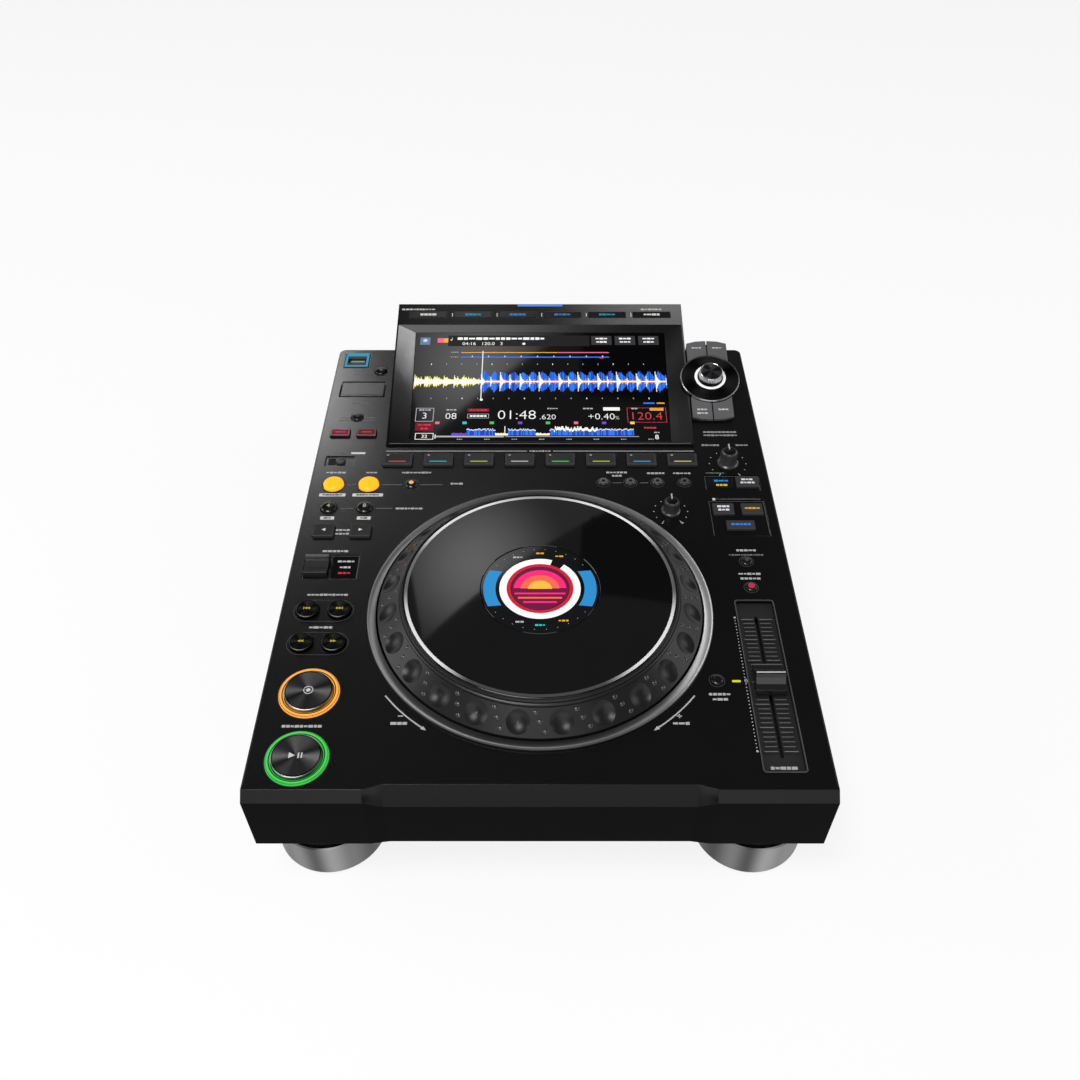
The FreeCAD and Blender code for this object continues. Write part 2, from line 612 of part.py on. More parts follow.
    cut(made, "square_holes", square_holes, UNDER_DECK, "deck_top")

    def card_opening(sketch):
        polygon(sketch, [("-lid_x - lid_wide / 2 - key_gap", "lid_front - key_gap"),
                         ("-lid_x + lid_wide / 2 + key_gap", "lid_front - key_gap"),
                         ("-lid_x + lid_wide / 2 + key_gap", "lid_rear + lid_thick / 2 + key_gap"),
                         ("-lid_x - lid_wide / 2 - key_gap", "lid_rear + lid_thick / 2 + key_gap")])

    cut(made, "card_opening", card_opening, "well_low + 2", "deck_top")
    pins = new_sketch(made, "pin_outline", "YZ_Plane", "-lid_x")
    circle(pins, "lid_pin + pin_gap", "lid_rear", "deck_top - lid_thick / 2")
    holes = made.newObject("PartDesign::Pocket", "pin_holes")
    holes.Profile = pins
    holes.SideType = "Symmetric"
    holes.setExpression("Length", bound("lid_wide + 2 * key_gap + 4"))
    finish_feature(made, holes, False)

    def card_slot(sketch):
        oblong(sketch, "24.6", "2.6", "-lid_x", "(lid_front + lid_rear) / 2")

    cut(made, "card_slot", card_slot, "well_low", "well_low + 2")

    window = new_sketch(made, "window_outline", "XZ_Plane", "-deck_rear")
    polygon(window, [("-window_half", "window_low"), ("window_half", "window_low"),
                     ("window_half", "window_high"), ("-window_half", "window_high")])
    opening = made.newObject("PartDesign::Pocket", "rear_window")
    opening.Profile = window
    opening.SideType = "Symmetric"
    opening.setExpression("Length", bound("2 * wall + 2"))
    finish_feature(made, opening, False)

    def pilots(sketch):
        for place in BOSS_ROWS:
            circle(sketch, "screw_radius + 0.1", "-boss_x", place)
            circle(sketch, "screw_radius + 0.1", "boss_x", place)

    cut(made, "boss_pilots", pilots, "pan_low + pan_thick", "pan_low + pan_thick + screw_long")
    return made


def make_bottom_pan():
    """Steel pan inside the walls, held by screws into the case's bosses."""
    made = new_body("bottom_pan")

    def plan(sketch):
        polygon(sketch, [(f"-({INSIDE}) + seat", "front_face + 1.5 * wall + seat"),
                         (f"{INSIDE} - seat", "front_face + 1.5 * wall + seat"),
                         (f"{INSIDE} - seat", "deck_rear - wall - seat"),
                         (f"-({INSIDE}) + seat", "deck_rear - wall - seat")])

    def standoffs(sketch):
        for x in ("-88", "88"):
            for y in ("52", "168"):
                circle(sketch, "boss_radius", x, y)
        for x in ("-146", "-106"):
            for y in ("72", "128"):
                circle(sketch, "boss_radius", x, y)

    def holes(sketch):
        for place in BOSS_ROWS:
            circle(sketch, "screw_radius + 0.2", "-boss_x", place)
            circle(sketch, "screw_radius + 0.2", "boss_x", place)

    def vents(sketch):
        for i in range(12):
            oblong(sketch, "3", "40", f"-44 + {i} * 8", "-170")

    slab(made, "pan", plan, "pan_low", "pan_low + pan_thick")
    slab(made, "standoffs", standoffs, "pan_low + pan_thick", "pan_low + pan_thick + 4")
    cut(made, "screw_holes", holes, "pan_low", "pan_low + pan_thick")
    cut(made, "vents", vents, "pan_low", "pan_low + pan_thick")
    return made


def make_rear_panel():
    """Plate behind the rear window, with a hole for each socket."""
    made = new_body("rear_panel", y="deck_rear - wall")
    sketch = new_sketch(made, "panel_outline", "XZ_Plane")
    polygon(sketch, [("-window_half - panel_lap", "window_low - panel_lap"),
                     ("window_half + panel_lap", "window_low - panel_lap"),
                     ("window_half + panel_lap", "window_high + panel_lap"),
                     ("-window_half - panel_lap", "window_high + panel_lap")])
    plate = made.newObject("PartDesign::Pad", "plate")
    plate.Profile = sketch
    plate.setExpression("Length", bound("panel_thick"))
    finish_feature(made, plate, True)
    holes = new_sketch(made, "holes_outline", "XZ_Plane")
    for x, wide, tall in (("inlet_x", "inlet_wide", "inlet_tall"), ("power_x", "power_wide", "power_tall"),
                          ("network_x", "network_wide", "network_tall"), ("data_x", "data_wide", "data_tall")):
        oblong(holes, f"{wide} + 2 * seat", f"{tall} + 2 * seat", x, "socket_row")
    for i in range(3):
        circle(holes, "phono_radius + seat", f"phono_x + {i} * phono_pitch", "socket_row")
    cutter = made.newObject("PartDesign::Pocket", "holes")
    cutter.Profile = holes
    cutter.SideType = "Symmetric"
    cutter.setExpression("Length", bound("2 * panel_thick + 2"))
    finish_feature(made, cutter, False)
    return made


def make_sockets():
    """The fixed sockets: mains inlet, network, computer and phono at the rear, memory stick on the deck."""
    made = new_body("sockets")

    def block(name, x, wide, tall, reach, deep, hole_wide, hole_tall, hole_deep):
        """A socket body through the rear panel, with a flange inside it and its opening at the back."""
        for part, half_wide, half_tall, back, front in (
                ("shell", wide, tall, f"deck_rear - wall + ({reach})", f"deck_rear - wall - ({deep})"),
                ("flange", f"{wide} + 4", f"{tall} + 4", "deck_rear - wall - panel_thick",
                 "deck_rear - wall - panel_thick - 2")):
            outline = new_sketch(made, f"{name}_{part}_outline", "XZ_Plane", f"-({back})")
            oblong(outline, half_wide, half_tall, x, "socket_row")
            pad = made.newObject("PartDesign::Pad", f"{name}_{part}")
            pad.Profile = outline
            pad.setExpression("Length", bound(f"({back}) - ({front})"))
            finish_feature(made, pad, True)
        mouth = new_sketch(made, f"{name}_mouth_outline", "XZ_Plane", f"-(deck_rear - wall + ({reach}))")
        oblong(mouth, hole_wide, hole_tall, x, "socket_row")
        pocket = made.newObject("PartDesign::Pocket", f"{name}_mouth")
        pocket.Profile = mouth
        pocket.Reversed = True
        pocket.setExpression("Length", bound(hole_deep))
        finish_feature(made, pocket, False)

    block("inlet", "inlet_x", "inlet_wide", "inlet_tall", "wall + 1", "20", "inlet_wide - 3", "inlet_tall - 4", "16")
    block("network", "network_x", "network_wide", "network_tall", "1", "16", "11.8", "8.2", "12")
    block("data", "data_x", "data_wide", "data_tall", "1", "14", "8.6", "7.8", "9")

    for i in range(3):
        place = f"phono_x + {i} * phono_pitch"
        barrel = new_sketch(made, f"phono_{i}_outline", "XZ_Plane", "-(deck_rear - wall + wall + phono_long)")
        circle(barrel, "phono_radius", place, "socket_row")
        circle(barrel, "1.6", place, "socket_row")
        pad = made.newObject("PartDesign::Pad", f"phono_{i}")
        pad.Profile = barrel
        pad.setExpression("Length", bound("wall + phono_long + panel_thick"))
        finish_feature(made, pad, True)
        body = new_sketch(made, f"phono_{i}_body_outline", "XZ_Plane", "-(deck_rear - wall - panel_thick)")
        oblong(body, "14", "14", place, "socket_row")
        pad = made.newObject("PartDesign::Pad", f"phono_{i}_body")
        pad.Profile = body
        pad.Length = 10
        finish_feature(made, pad, True)

    def frame(sketch):
        oblong(sketch, "usb_wide", "usb_deep", "-usb_x", "usb_y")

    def flange(sketch):
        oblong(sketch, "usb_wide + 3", "usb_deep - 2", "-usb_x", "usb_y")

    def mouth(sketch):
        oblong(sketch, "usb_slot_wide", "usb_slot_deep", "-usb_x", "usb_y - 1")

    slab(made, "memory_frame", frame, "board_top", "deck_top + 0.8")
    slab(made, "memory_flange", flange, f"{UNDER_DECK} - 1.5", UNDER_DECK)
    cut(made, "memory_mouth", mouth, "board_top + 1.5", "deck_top + 0.8")
    chamfer_top(made, "memory_edge", "deck_top + 0.8", "0.4")
    return made


# Slopes and lengths along them, for the screen's plane and for the top of its housing
SCREEN_TILT = "atan((screen_rear_high - screen_front_high) / (screen_rear - screen_front))"
SCREEN_LONG = "sqrt((screen_rear_high - screen_front_high) ^ 2 + (screen_rear - screen_front) ^ 2)"
TOP_SLOPE = "(house_top - house_front_high) / (house_rear - house_front)"
TOP_TILT = f"atan({TOP_SLOPE})"


def tilted_sketch(owner, name, y, z, tilt):
    """A sketch that climbs towards the rear from a line at y and z."""
    made = new_sketch(owner, name, offset=z)
    made.AttachmentOffset = FreeCAD.Placement(point("0", "0"), FreeCAD.Rotation(FreeCAD.Vector(1, 0, 0), 1))
    made.setExpression("AttachmentOffset.Base.y", bound(y))
    made.setExpression("AttachmentOffset.Base.z", bound(z))
    made.setExpression("AttachmentOffset.Rotation.Angle", bound(tilt))
    return made


def carve(owner, name, sketch, depth):
    """A pocket below a sketch."""
    made = owner.newObject("PartDesign::Pocket", name)
    made.Profile = sketch
    made.setExpression("Length", bound(depth))
    return finish_feature(owner, made, False)


def raise_from(owner, name, sketch, height, down=False):
    """A pad above a sketch, or below it."""
    made = owner.newObject("PartDesign::Pad", name)
    made.Profile = sketch
    made.Reversed = down
    made.setExpression("Length", bound(height))
    return finish_feature(owner, made, True)


def make_display_housing():
    """Sloping wedge that carries the screen, sunk into the deck and overhanging the rear."""
    made = new_body("display_housing")
    extrude_side(made, "wedge", [
        ("house_front", "deck_top"), ("house_front", "house_front_high"), ("house_rear", "house_top"),
        ("house_rear", "house_top - house_lip"), ("house_foot", "deck_top"),
    ], "2 * house_half")

    def tapers(sketch):
        polygon(sketch, [("house_front_half", "house_front"), ("house_half + 1", "house_front"),
                         ("house_half + 1", "house_rear"), ("house_half", "house_rear")])
        polygon(sketch, [("-house_front_half", "house_front"), ("-house_half - 1", "house_front"),
                         ("-house_half - 1", "house_rear"), ("-house_half", "house_rear")])

    cut(made, "side_tapers", tapers, "deck_top - 1", "house_top + 1")
    extrude_side(made, "tub", [
        ("tub_front", "tub_low"), ("tub_front", "deck_top + 0.5"), ("tub_rear", "deck_top + 0.5"),
        ("tub_rear", "tub_low"),
    ], "2 * tub_half")

    # Sunk bezel: its sides fall from the housing's edges to the screen's plane
    lower = tilted_sketch(made, "bezel_low", "screen_front", "screen_front_high", SCREEN_TILT)
    polygon(lower, [("-screen_front_half", "0"), ("screen_front_half", "0"),
                    ("screen_rear_half", SCREEN_LONG), ("-screen_rear_half", SCREEN_LONG)])
    reach = f"(bezel_rear - screen_front) / cos({TOP_TILT})"
    upper = tilted_sketch(made, "bezel_high", "screen_front",
                          f"house_front_high + (screen_front - house_front) * {TOP_SLOPE} + 0.05", TOP_TILT)
    polygon(upper, [("-house_front_half + 1", "0"), ("house_front_half - 1", "0"),
                    ("house_half - 1.4", reach), ("-house_half + 1.4", reach)])
    bezel = made.newObject("PartDesign::SubtractiveLoft", "bezel")
    bezel.Profile = lower
    bezel.Sections = [upper]
    bezel.Ruled = True
    finish_feature(made, bezel, False)

    seat = tilted_sketch(made, "glass_seat_outline", "screen_front", "screen_front_high", SCREEN_TILT)
    polygon(seat, [("-screen_front_half", "0"), ("screen_front_half", "0"),
                   ("screen_rear_half", SCREEN_LONG), ("-screen_rear_half", SCREEN_LONG)])
    carve(made, "glass_seat", seat, "glass_thick")
    inner = tilted_sketch(made, "panel_space_outline", "screen_front", "screen_front_high", SCREEN_TILT)
    polygon(inner, [("-screen_front_half + ledge", "ledge + 2"), ("screen_front_half - ledge", "ledge + 2"),
                    ("screen_front_half - ledge", f"{SCREEN_LONG} - 4 * ledge"),
                    ("-screen_front_half + ledge", f"{SCREEN_LONG} - 4 * ledge")])
    carve(made, "panel_space", inner, "glass_thick + 22")

    keys = tilted_sketch(made, "menu_space_outline", "menu_y",
                         f"house_front_high + (menu_y - house_front) * {TOP_SLOPE}", TOP_TILT)
    for i in range(6):
        oblong(keys, "menu_wide + 2 * seat", "menu_deep + 2 * seat", f"({i} - 2.5) * menu_pitch")
    carve(made, "menu_space", keys, "3")
    return made


def make_screen_glass():
    """Flat glass on the ledge of the display housing."""
    made = new_body("screen_glass")
    sketch = tilted_sketch(made, "glass_outline", "screen_front", "screen_front_high", SCREEN_TILT)
    polygon(sketch, [("-screen_front_half + seat", "seat"), ("screen_front_half - seat", "seat"),
                     ("screen_rear_half - seat", f"{SCREEN_LONG} - seat"),
                     ("-screen_rear_half + seat", f"{SCREEN_LONG} - seat")])
    raise_from(made, "glass", sketch, "glass_thick", down=True)
    return made


def make_menu_keys():
    """Six wide keys above the screen, moulded as one strip."""
    made = new_body("menu_keys", "0", "menu_y", f"house_front_high + (menu_y - house_front) * {TOP_SLOPE}")
    lean(made, TOP_TILT)

    def caps(sketch):
        for i in range(6):
            oblong(sketch, "menu_wide", "menu_deep", f"({i} - 2.5) * menu_pitch")

    slab(made, "menu_caps", caps, "-1.8", "0.4")
    return made


def lean(made, tilt):
    """Tilts a body towards the front about its own X line."""
    made.Placement = FreeCAD.Placement(made.Placement.Base, FreeCAD.Rotation(FreeCAD.Vector(1, 0, 0), 1))
    made.setExpression("Placement.Rotation.Angle", bound(tilt))


SLOPE_FALL = "(slope_high - rim_high) / (rim_radius - slope_radius)"


def make_jog_ring():
    """Fixed bright ring round the wheel."""
    made = new_body("jog_ring", y="jog_y", z="deck_top")
    turn(made, "ring", [("ring_in", "0"), ("ring_out", "0"), ("ring_out", "ring_top - deck_top - 1.2"),
                        ("ring_out - 1.2", "ring_top - deck_top"), ("ring_in + 0.8", "ring_top - deck_top"),
                        ("ring_in", "ring_top - deck_top - 0.8")])
    return made


def make_jog_base():
    """Bowl fixed under the deck with the post that the wheel turns on."""
    made = new_body("jog_base", y="jog_y")
    turn(made, "bowl", [
        ("post_radius - 3", "bowl_low"), ("jog_hole + 1 + bowl_wall", "bowl_low"),
        ("jog_hole + 1 + bowl_wall", UNDER_DECK), ("jog_hole + 1", UNDER_DECK),
        ("jog_hole + 1", "bowl_low + bowl_floor"), ("post_radius", "bowl_low + bowl_floor"),
        ("post_radius", "post_high"), ("post_radius - 3", "post_high"),
    ])
    return made


def make_jog_wheel():
    """Turning wheel: sloping rim with finger dimples, inner web and hub."""
    made = new_body("jog_wheel", y="jog_y")
    hub = "post_radius + seat"
    skirt = "deck_top - 3 * deck_thick"
    rest = "plate_top - plate_thick"
    hole = "display_radius + 1.3"
    turn(made, "wheel", [
        ("rim_radius", skirt), ("rim_radius", "rim_high"), ("slope_radius", "slope_high"),
        ("slope_radius", "slope_high + 1.2"), ("slope_radius - 1.2", "slope_high + 1.8"),
        ("slope_radius - 1.2", "plate_top - 1"), ("slope_radius - 2", "plate_top"),
        ("plate_radius + seat", "plate_top"), ("plate_radius + seat", rest), (hole, rest),
        (hole, "post_high - 4.2"), (hub, "post_high - 4.2"), (hub, "bowl_low + bowl_floor + seat"),
        (f"{hub} + 4", "bowl_low + bowl_floor + seat"), (f"{hub} + 4", "post_high - 7.2"),
        (f"{hole} + 3", "post_high - 7.2"), (f"{hole} + 3", f"{rest} - 3"), ("slope_radius - 4.6", f"{rest} - 3"),
        ("rim_radius - 3", f"{rest} - 3 - (rim_radius + 1.6 - slope_radius) * {SLOPE_FALL}"),
        ("rim_radius - 3", skirt),
    ])
    # One dimple is a circle's segment turned about a line square to the slope, then repeated round the wheel
    sketch = new_sketch(made, "dimple_outline", "XZ_Plane")
    fall = math.atan2(number("slope_high - rim_high"), number("rim_radius - slope_radius"))
    wide, deep = number("dimple_radius"), number("dimple_deep")
    ball = (wide ** 2 + deep ** 2) / (2 * deep)
    middle = FreeCAD.Vector(number("(rim_radius + slope_radius) / 2"), number("(rim_high + slope_high) / 2"), 0)
    outward = FreeCAD.Vector(math.sin(fall), math.cos(fall), 0)
    along = FreeCAD.Vector(math.cos(fall), -math.sin(fall), 0)
    centre = middle + outward * (ball - deep)
    bottom = centre - outward * ball
    side = middle + outward * 1.0 + along * math.sqrt(ball ** 2 - (ball - deep - 1.0) ** 2)
    top = middle + outward * 1.0
    arc_middle = centre + (((bottom + side) * 0.5 - centre).normalize() * ball)
    arc = sketch.addGeometry(Part.Arc(bottom, arc_middle, side))
    cap = sketch.addGeometry(Part.LineSegment(side, top))
    axis = sketch.addGeometry(Part.LineSegment(top, bottom))
    for first, second in ((arc, cap), (cap, axis), (axis, arc)):
        sketch.addConstraint(Sketcher.Constraint("Block", first))
    groove = made.newObject("PartDesign::Groove", "dimple")
    groove.Profile = sketch
    groove.ReferenceAxis = (sketch, ["Edge3"])
    groove.Angle = 360
    finish_feature(made, groove, False)
    ring = made.newObject("PartDesign::PolarPattern", "dimples")
    ring.Originals = [groove]
    upright = [item for item in made.Origin.OriginFeatures if item.Role == "Z_Axis"][0]
    ring.Axis = (upright, [""])
    ring.Angle = 360
    ring.setExpression("Occurrences", "Sizes.dimple_count")
    made.Tip = ring
    finish_feature(made, ring, False)
    made.Placement = FreeCAD.Placement(made.Placement.Base, FreeCAD.Rotation(FreeCAD.Vector(0, 0, 1), 1))
    made.setExpression("Placement.Rotation.Angle", "180 / Sizes.dimple_count - 90")
    return made


def make_jog_plate():
    """Glossy plate on top of the wheel, open in the middle for the small display."""
    made = new_body("jog_plate", y="jog_y", z="plate_top")
    turn(made, "plate", [("display_radius + seat", "-plate_thick"), ("plate_radius", "-plate_thick"),
                         ("plate_radius", "-0.4"), ("plate_radius - 0.4", "0"), ("display_radius + seat", "0")])
    return made


def make_jog_display():
    """Small round display on the fixed post, level with the plate."""
    made = new_body("jog_display", y="jog_y", z="plate_top")
    turn(made, "display", [("0", "post_high - plate_top - 10"), ("post_radius - 3 - seat", "post_high - plate_top - 10"),
                           ("post_radius - 3 - seat", "post_high - plate_top"),
                           ("display_radius", "post_high - plate_top"), ("display_radius", "-0.2"), ("0", "-0.2")])
    return made


def make_light_rings():
    """Translucent rings round the two large keys, with a flange under the deck."""
    made = new_body("light_rings", "-transport_x", "0", "deck_top")

    def tubes(sketch):
        for place in ("cue_y", "play_y"):
            circle(sketch, "transport_ring", "0", place)
            circle(sketch, "light_in", "0", place)

    def flanges(sketch):
        for place in ("cue_y", "play_y"):
            circle(sketch, "transport_ring + 2", "0", place)
            circle(sketch, "transport_key + key_flange + key_gap", "0", place)

    slab(made, "tubes", tubes, "-deck_thick", "ring_rise")
    slab(made, "flanges", flanges, "-deck_thick - 1.4", "-deck_thick")
    chamfer_top(made, "tube_edge", "ring_rise", "0.4")
    return made


def make_fader_track():
    """Ribbed floor of the tempo slider with its slot and the rails that guide the slider below."""
    made = new_body("fader_track", "column_x", "fader_y", UNDER_DECK)

    def plate(sketch):
        oblong(sketch, "fader_wide + 7", "fader_long + 7", "0", "fader_shift")

    def floor(sketch):
        oblong(sketch, "fader_wide - 2 * seat", "fader_long - 2 * seat", "0", "fader_shift")

    def rails(sketch):
        oblong(sketch, "1.4", "2 * fader_travel + blade_long + 9", "-7.6", "0")
        oblong(sketch, "1.4", "2 * fader_travel + blade_long + 9", "7.6", "0")

    def slot(sketch):
        oblong(sketch, "fader_slot", "2 * fader_travel + blade_long + 1")

    slab(made, "plate", plate, "-fader_plate", "0")
    slab(made, "floor", floor, "0", f"fader_floor - ({UNDER_DECK})")
    slab(made, "rails", rails, "-fader_plate - 5", "-fader_plate")
    cut(made, "slot", slot, "-fader_plate", f"fader_floor - ({UNDER_DECK})")
    return made


def make_fader_cap():
    """Slider cap with a ridge across it, on a blade through the slot to a shoe between the rails."""
    made = new_body("fader_cap", "column_x", "fader_y", "fader_floor")
    low, lip, top = "cap_gap", "cap_lip - fader_floor", "cap_top - fader_floor"
    half = [("cap_half", low), ("cap_half", lip), ("cap_half - 1.2", f"{lip} + 0.5"), ("0.55 * cap_half", f"{lip} + 0.4"),
            ("0.25 * cap_half", f"{top} - 2.2"), ("0.15 * cap_half", top)]
    mirrored = [(f"-({y})", z) for y, z in reversed(half)]
    extrude_side(made, "cap", half + mirrored, "cap_wide")
    shoe_top = f"{UNDER_DECK} - fader_plate - seat - fader_floor"

    def blade(sketch):
        oblong(sketch, "fader_blade", "blade_long")

    def shoe(sketch):
        oblong(sketch, "12.8", "9")

    slab(made, "blade", blade, f"{shoe_top} - 0.5", f"{low} + 1")
    slab(made, "shoe", shoe, f"{shoe_top} - 2.5", shoe_top)
    return made


def make_selector_base():
    """Tilted block with a disc for the selector knob and a seat for its keys."""
    made = new_body("selector_base", "selector_x", "selector_y", "selector_high")
    lean(made, "selector_tilt")

    def block(sketch):
        ends = [("-selector_half", "0.92 * selector_reach"), ("-0.5 * selector_half", "0.98 * selector_reach"),
                ("0.5 * selector_half", "0.98 * selector_reach"), ("selector_half", "0.92 * selector_reach")]
        polygon(sketch, [(x, f"-({y})") for x, y in ends] + list(reversed(ends)))

    def pedestal(sketch):
        circle(sketch, "selector_half - 0.7")

    def disc(sketch):
        circle(sketch, "disc_radius")

    def collar(sketch):
        circle(sketch, "selector_knob + 3.8")
        circle(sketch, "selector_knob + seat")

    def bore(sketch):
        circle(sketch, "shaft_radius + key_gap")

    slab(made, "block", block, "-30", "-2.8")
    slab(made, "pedestal", pedestal, "-8", "disc_low")
    slab(made, "disc", disc, "disc_low", "disc_high")
    level = tilted_sketch(made, "deck_level", "0", "-(selector_high - deck_top) / cos(selector_tilt * 1 deg)",
                          "-selector_tilt")
    oblong(level, "4 * selector_half", "4 * selector_reach")
    carve(made, "foot", level, "40")
    slab(made, "collar", collar, "disc_high", "disc_high + 1")
    cut(made, "bore", bore, "-8", "disc_high")
    return made


def make_selector_knob():
    """Knob on the disc, turning without end."""
    made = new_body("selector_knob", "selector_x", "selector_y", "selector_high")
    lean(made, "selector_tilt")
    turn(made, "knob", [
        ("0", "-6"), ("shaft_radius", "-6"), ("shaft_radius", "disc_high + seat"),
        ("selector_knob - 0.4", "disc_high + seat"), ("selector_knob", "disc_high + 1.2"),
        ("0.94 * selector_knob", "disc_high + selector_rise - 1.2"),
        ("0.86 * selector_knob", "disc_high + selector_rise"), ("0", "disc_high + selector_rise"),
    ])
    return made


def make_selector_keys():
    """Four keys before and behind the disc, moulded as one set."""
    made = new_body("selector_keys", "selector_x", "selector_y", "selector_high")
    lean(made, "selector_tilt")

    def caps(sketch):
        for side in ("", "-"):
            for end in ("", "-"):
                polygon(sketch, [(f"{side}0.5", f"{end}10"), (f"{side}0.5", f"{end}selector_reach"),
                                 (f"{side}0.55 * selector_half", f"{end}0.985 * selector_reach"),
                                 (f"{side}selector_half", f"{end}0.93 * selector_reach"),
                                 (f"{side}selector_half", f"{end}10")])

    def disc(sketch):
        circle(sketch, "disc_radius + key_gap")

    slab(made, "caps", caps, "-1.6", "0.6")
    cut(made, "disc_space", disc, "-2.6", "1.6")
    return made


def make_knob(label, x, y, radius, rise):
    """Tall knob with a pointer rib on a shaft."""
    made = new_body(label, x, y, "deck_top")
    turn(made, label + "_turned", [
        ("0", "board_top + 5 + seat - deck_top"), ("shaft_radius", "board_top + 5 + seat - deck_top"),
        ("shaft_radius", "seat"), (radius, "seat"), (radius, "1.6"), (f"0.86 * {radius}", "2.4"),
        (f"0.72 * {radius}", f"{rise} - 0.8"), (f"0.64 * {radius}", rise), ("0", rise),
    ])

    def rib(sketch):
        oblong(sketch, "1.6", f"0.96 * {radius}", "0", f"0.5 * {radius}")

    slab(made, label + "_pointer", rib, "1.6", f"{rise} + 0.6")
    return made


def make_direction_lever():
    """Rocking lever with two ridges, on a pin between ears under the deck."""
    made = new_body("direction_lever", "-lever_x", "direction_y", "lever_axis")
    half = "lever_deep / 2"
    extrude_side(made, "saddle", [
        ("-2.5", "-2.5"), ("2.5", "-2.5"), (half, "6"), (half, "lever_radius + 3.2"), (f"{half} - 2", "lever_radius + 3.6"),
        ("0.3 * lever_deep", "lever_radius + 1"), ("0", "lever_radius"), ("-0.3 * lever_deep", "lever_radius + 0.6"),
        (f"2 - {half}", "lever_radius + 2"), (f"-{half}", "lever_radius + 1.6"), (f"-{half}", "6"),
    ], "lever_wide")
    pin = new_sketch(made, "pin_outline", "YZ_Plane")
    circle(pin, "lever_pin")
    pad = made.newObject("PartDesign::Pad", "pin")
    pad.Profile = pin
    pad.SideType = "Symmetric"
    pad.setExpression("Length", bound("lever_wide + 2 * key_gap + 4"))
    finish_feature(made, pad, True)
    return made


def make_card_lid():
    """Lid over the card slot, on two pins at its rear edge."""
    made = new_body("card_lid", "-lid_x", "lid_rear", "deck_top - lid_thick / 2")
    extrude_side(made, "plate", [("lid_front - lid_rear", "-lid_thick / 2"), ("0", "-lid_thick / 2"),
                                 ("0", "lid_thick / 2"), ("lid_front - lid_rear", "lid_thick / 2")], "lid_wide")
    for name, radius, wide in (("knuckle", "lid_thick / 2", "lid_wide"),
                               ("pins", "lid_pin", "lid_wide + 2 * key_gap + 3")):
        outline = new_sketch(made, name + "_outline", "YZ_Plane")
        circle(outline, radius)
        pad = made.newObject("PartDesign::Pad", name)
        pad.Profile = outline
        pad.SideType = "Symmetric"
        pad.setExpression("Length", bound(wide))
        finish_feature(made, pad, True)
    return made


def make_power_key():
    """Push key through the rear panel."""
    made = new_body("power_key", "power_x", "deck_rear - wall - panel_thick", "socket_row")
    for name, grow, front, back in (("cap", "0", "-6", "panel_thick + wall + 1.4"),
                                    ("rim", "2 * key_flange", "-seat - 1.2", "-seat")):
        outline = new_sketch(made, name + "_outline", "XZ_Plane", f"-({back})")
        oblong(outline, f"power_wide + {grow}", f"power_tall + {grow}")
        pad = made.newObject("PartDesign::Pad", name)
        pad.Profile = outline
        pad.setExpression("Length", bound(f"({back}) - ({front})"))
        finish_feature(made, pad, True)
    return made


def make_circuit_boards():
    """Key boards under the deck and the main board on the pan, with the potentiometers of the knobs."""
    made = new_body("circuit_boards")

    def upper(sketch):
        polygon(sketch, [("-outer_x - 6", "play_y - 13"), ("-outer_x + 35", "play_y - 13"),
                         ("-outer_x + 35", "usb_y + 6"), ("-outer_x - 6", "usb_y + 6")])
        polygon(sketch, [("outer_x - 35", "play_y - 13"), ("outer_x + 6", "play_y - 13"),
                         ("outer_x + 6", "speed_y + 14"), ("outer_x - 35", "speed_y + 14"),
                         ("outer_x - 35", "adjust_y + 9"), ("adjust_x - 8", "adjust_y + 9"),
                         ("adjust_x - 8", "adjust_y - 9"), ("outer_x - 35", "adjust_y - 9")])
        polygon(sketch, [("-3.6 * hot_pitch", "memory_y - 6"), ("3.6 * hot_pitch", "memory_y - 6"),
                         ("3.6 * hot_pitch", "hot_y + 15"), ("-3.6 * hot_pitch", "hot_y + 15")])

    def pots(sketch):
        oblong(sketch, "11", "11", "column_x", "speed_y")
        oblong(sketch, "11", "11", "adjust_x", "adjust_y")

    def main(sketch):
        polygon(sketch, [("-94", "46"), ("94", "46"), ("94", "174"), ("-94", "174")])

    def chips(sketch):
        oblong(sketch, "34", "34", "-30", "112")
        oblong(sketch, "18", "12", "36", "130")
        oblong(sketch, "14", "26", "62", "84")

    slab(made, "upper_boards", upper, "board_top - board_thick", "board_top")
    slab(made, "pots", pots, "board_top", "board_top + 5")
    slab(made, "main_board", main, "pan_low + pan_thick + 4", "pan_low + pan_thick + 4 + board_thick")
    slab(made, "chips", chips, "pan_low + pan_thick + 4 + board_thick", "pan_low + pan_thick + 9 + board_thick")
    return made


def make_power_supply():
    """Caged mains supply on its standoffs."""
    made = new_body("power_supply")

    def cage(sketch):
        polygon(sketch, [("-151", "66"), ("-101", "66"), ("-101", "134"), ("-151", "134")])

    slab(made, "cage", cage, "pan_low + pan_thick + 4", "board_top - 5")
    chamfer_top(made, "cage_edge", "board_top - 5", "1.5")
    return made


def at_feet(sketch, radii):
    for y in ("foot_front", "foot_rear"):
        for x in ("-foot_x", "foot_x"):
            for radius in radii:
                circle(sketch, radius, x, y)


def make_foot_sleeves():
    """Metal sleeves of the four feet."""
    made = new_body("foot_sleeves")
    slab(made, "sleeves", lambda sketch: at_feet(sketch, ("foot_radius", "foot_radius - foot_wall")),
         "pad_high", "foot_high")
    chamfer_top(made, "sleeve_edge", "foot_high", "0.8")
    return made


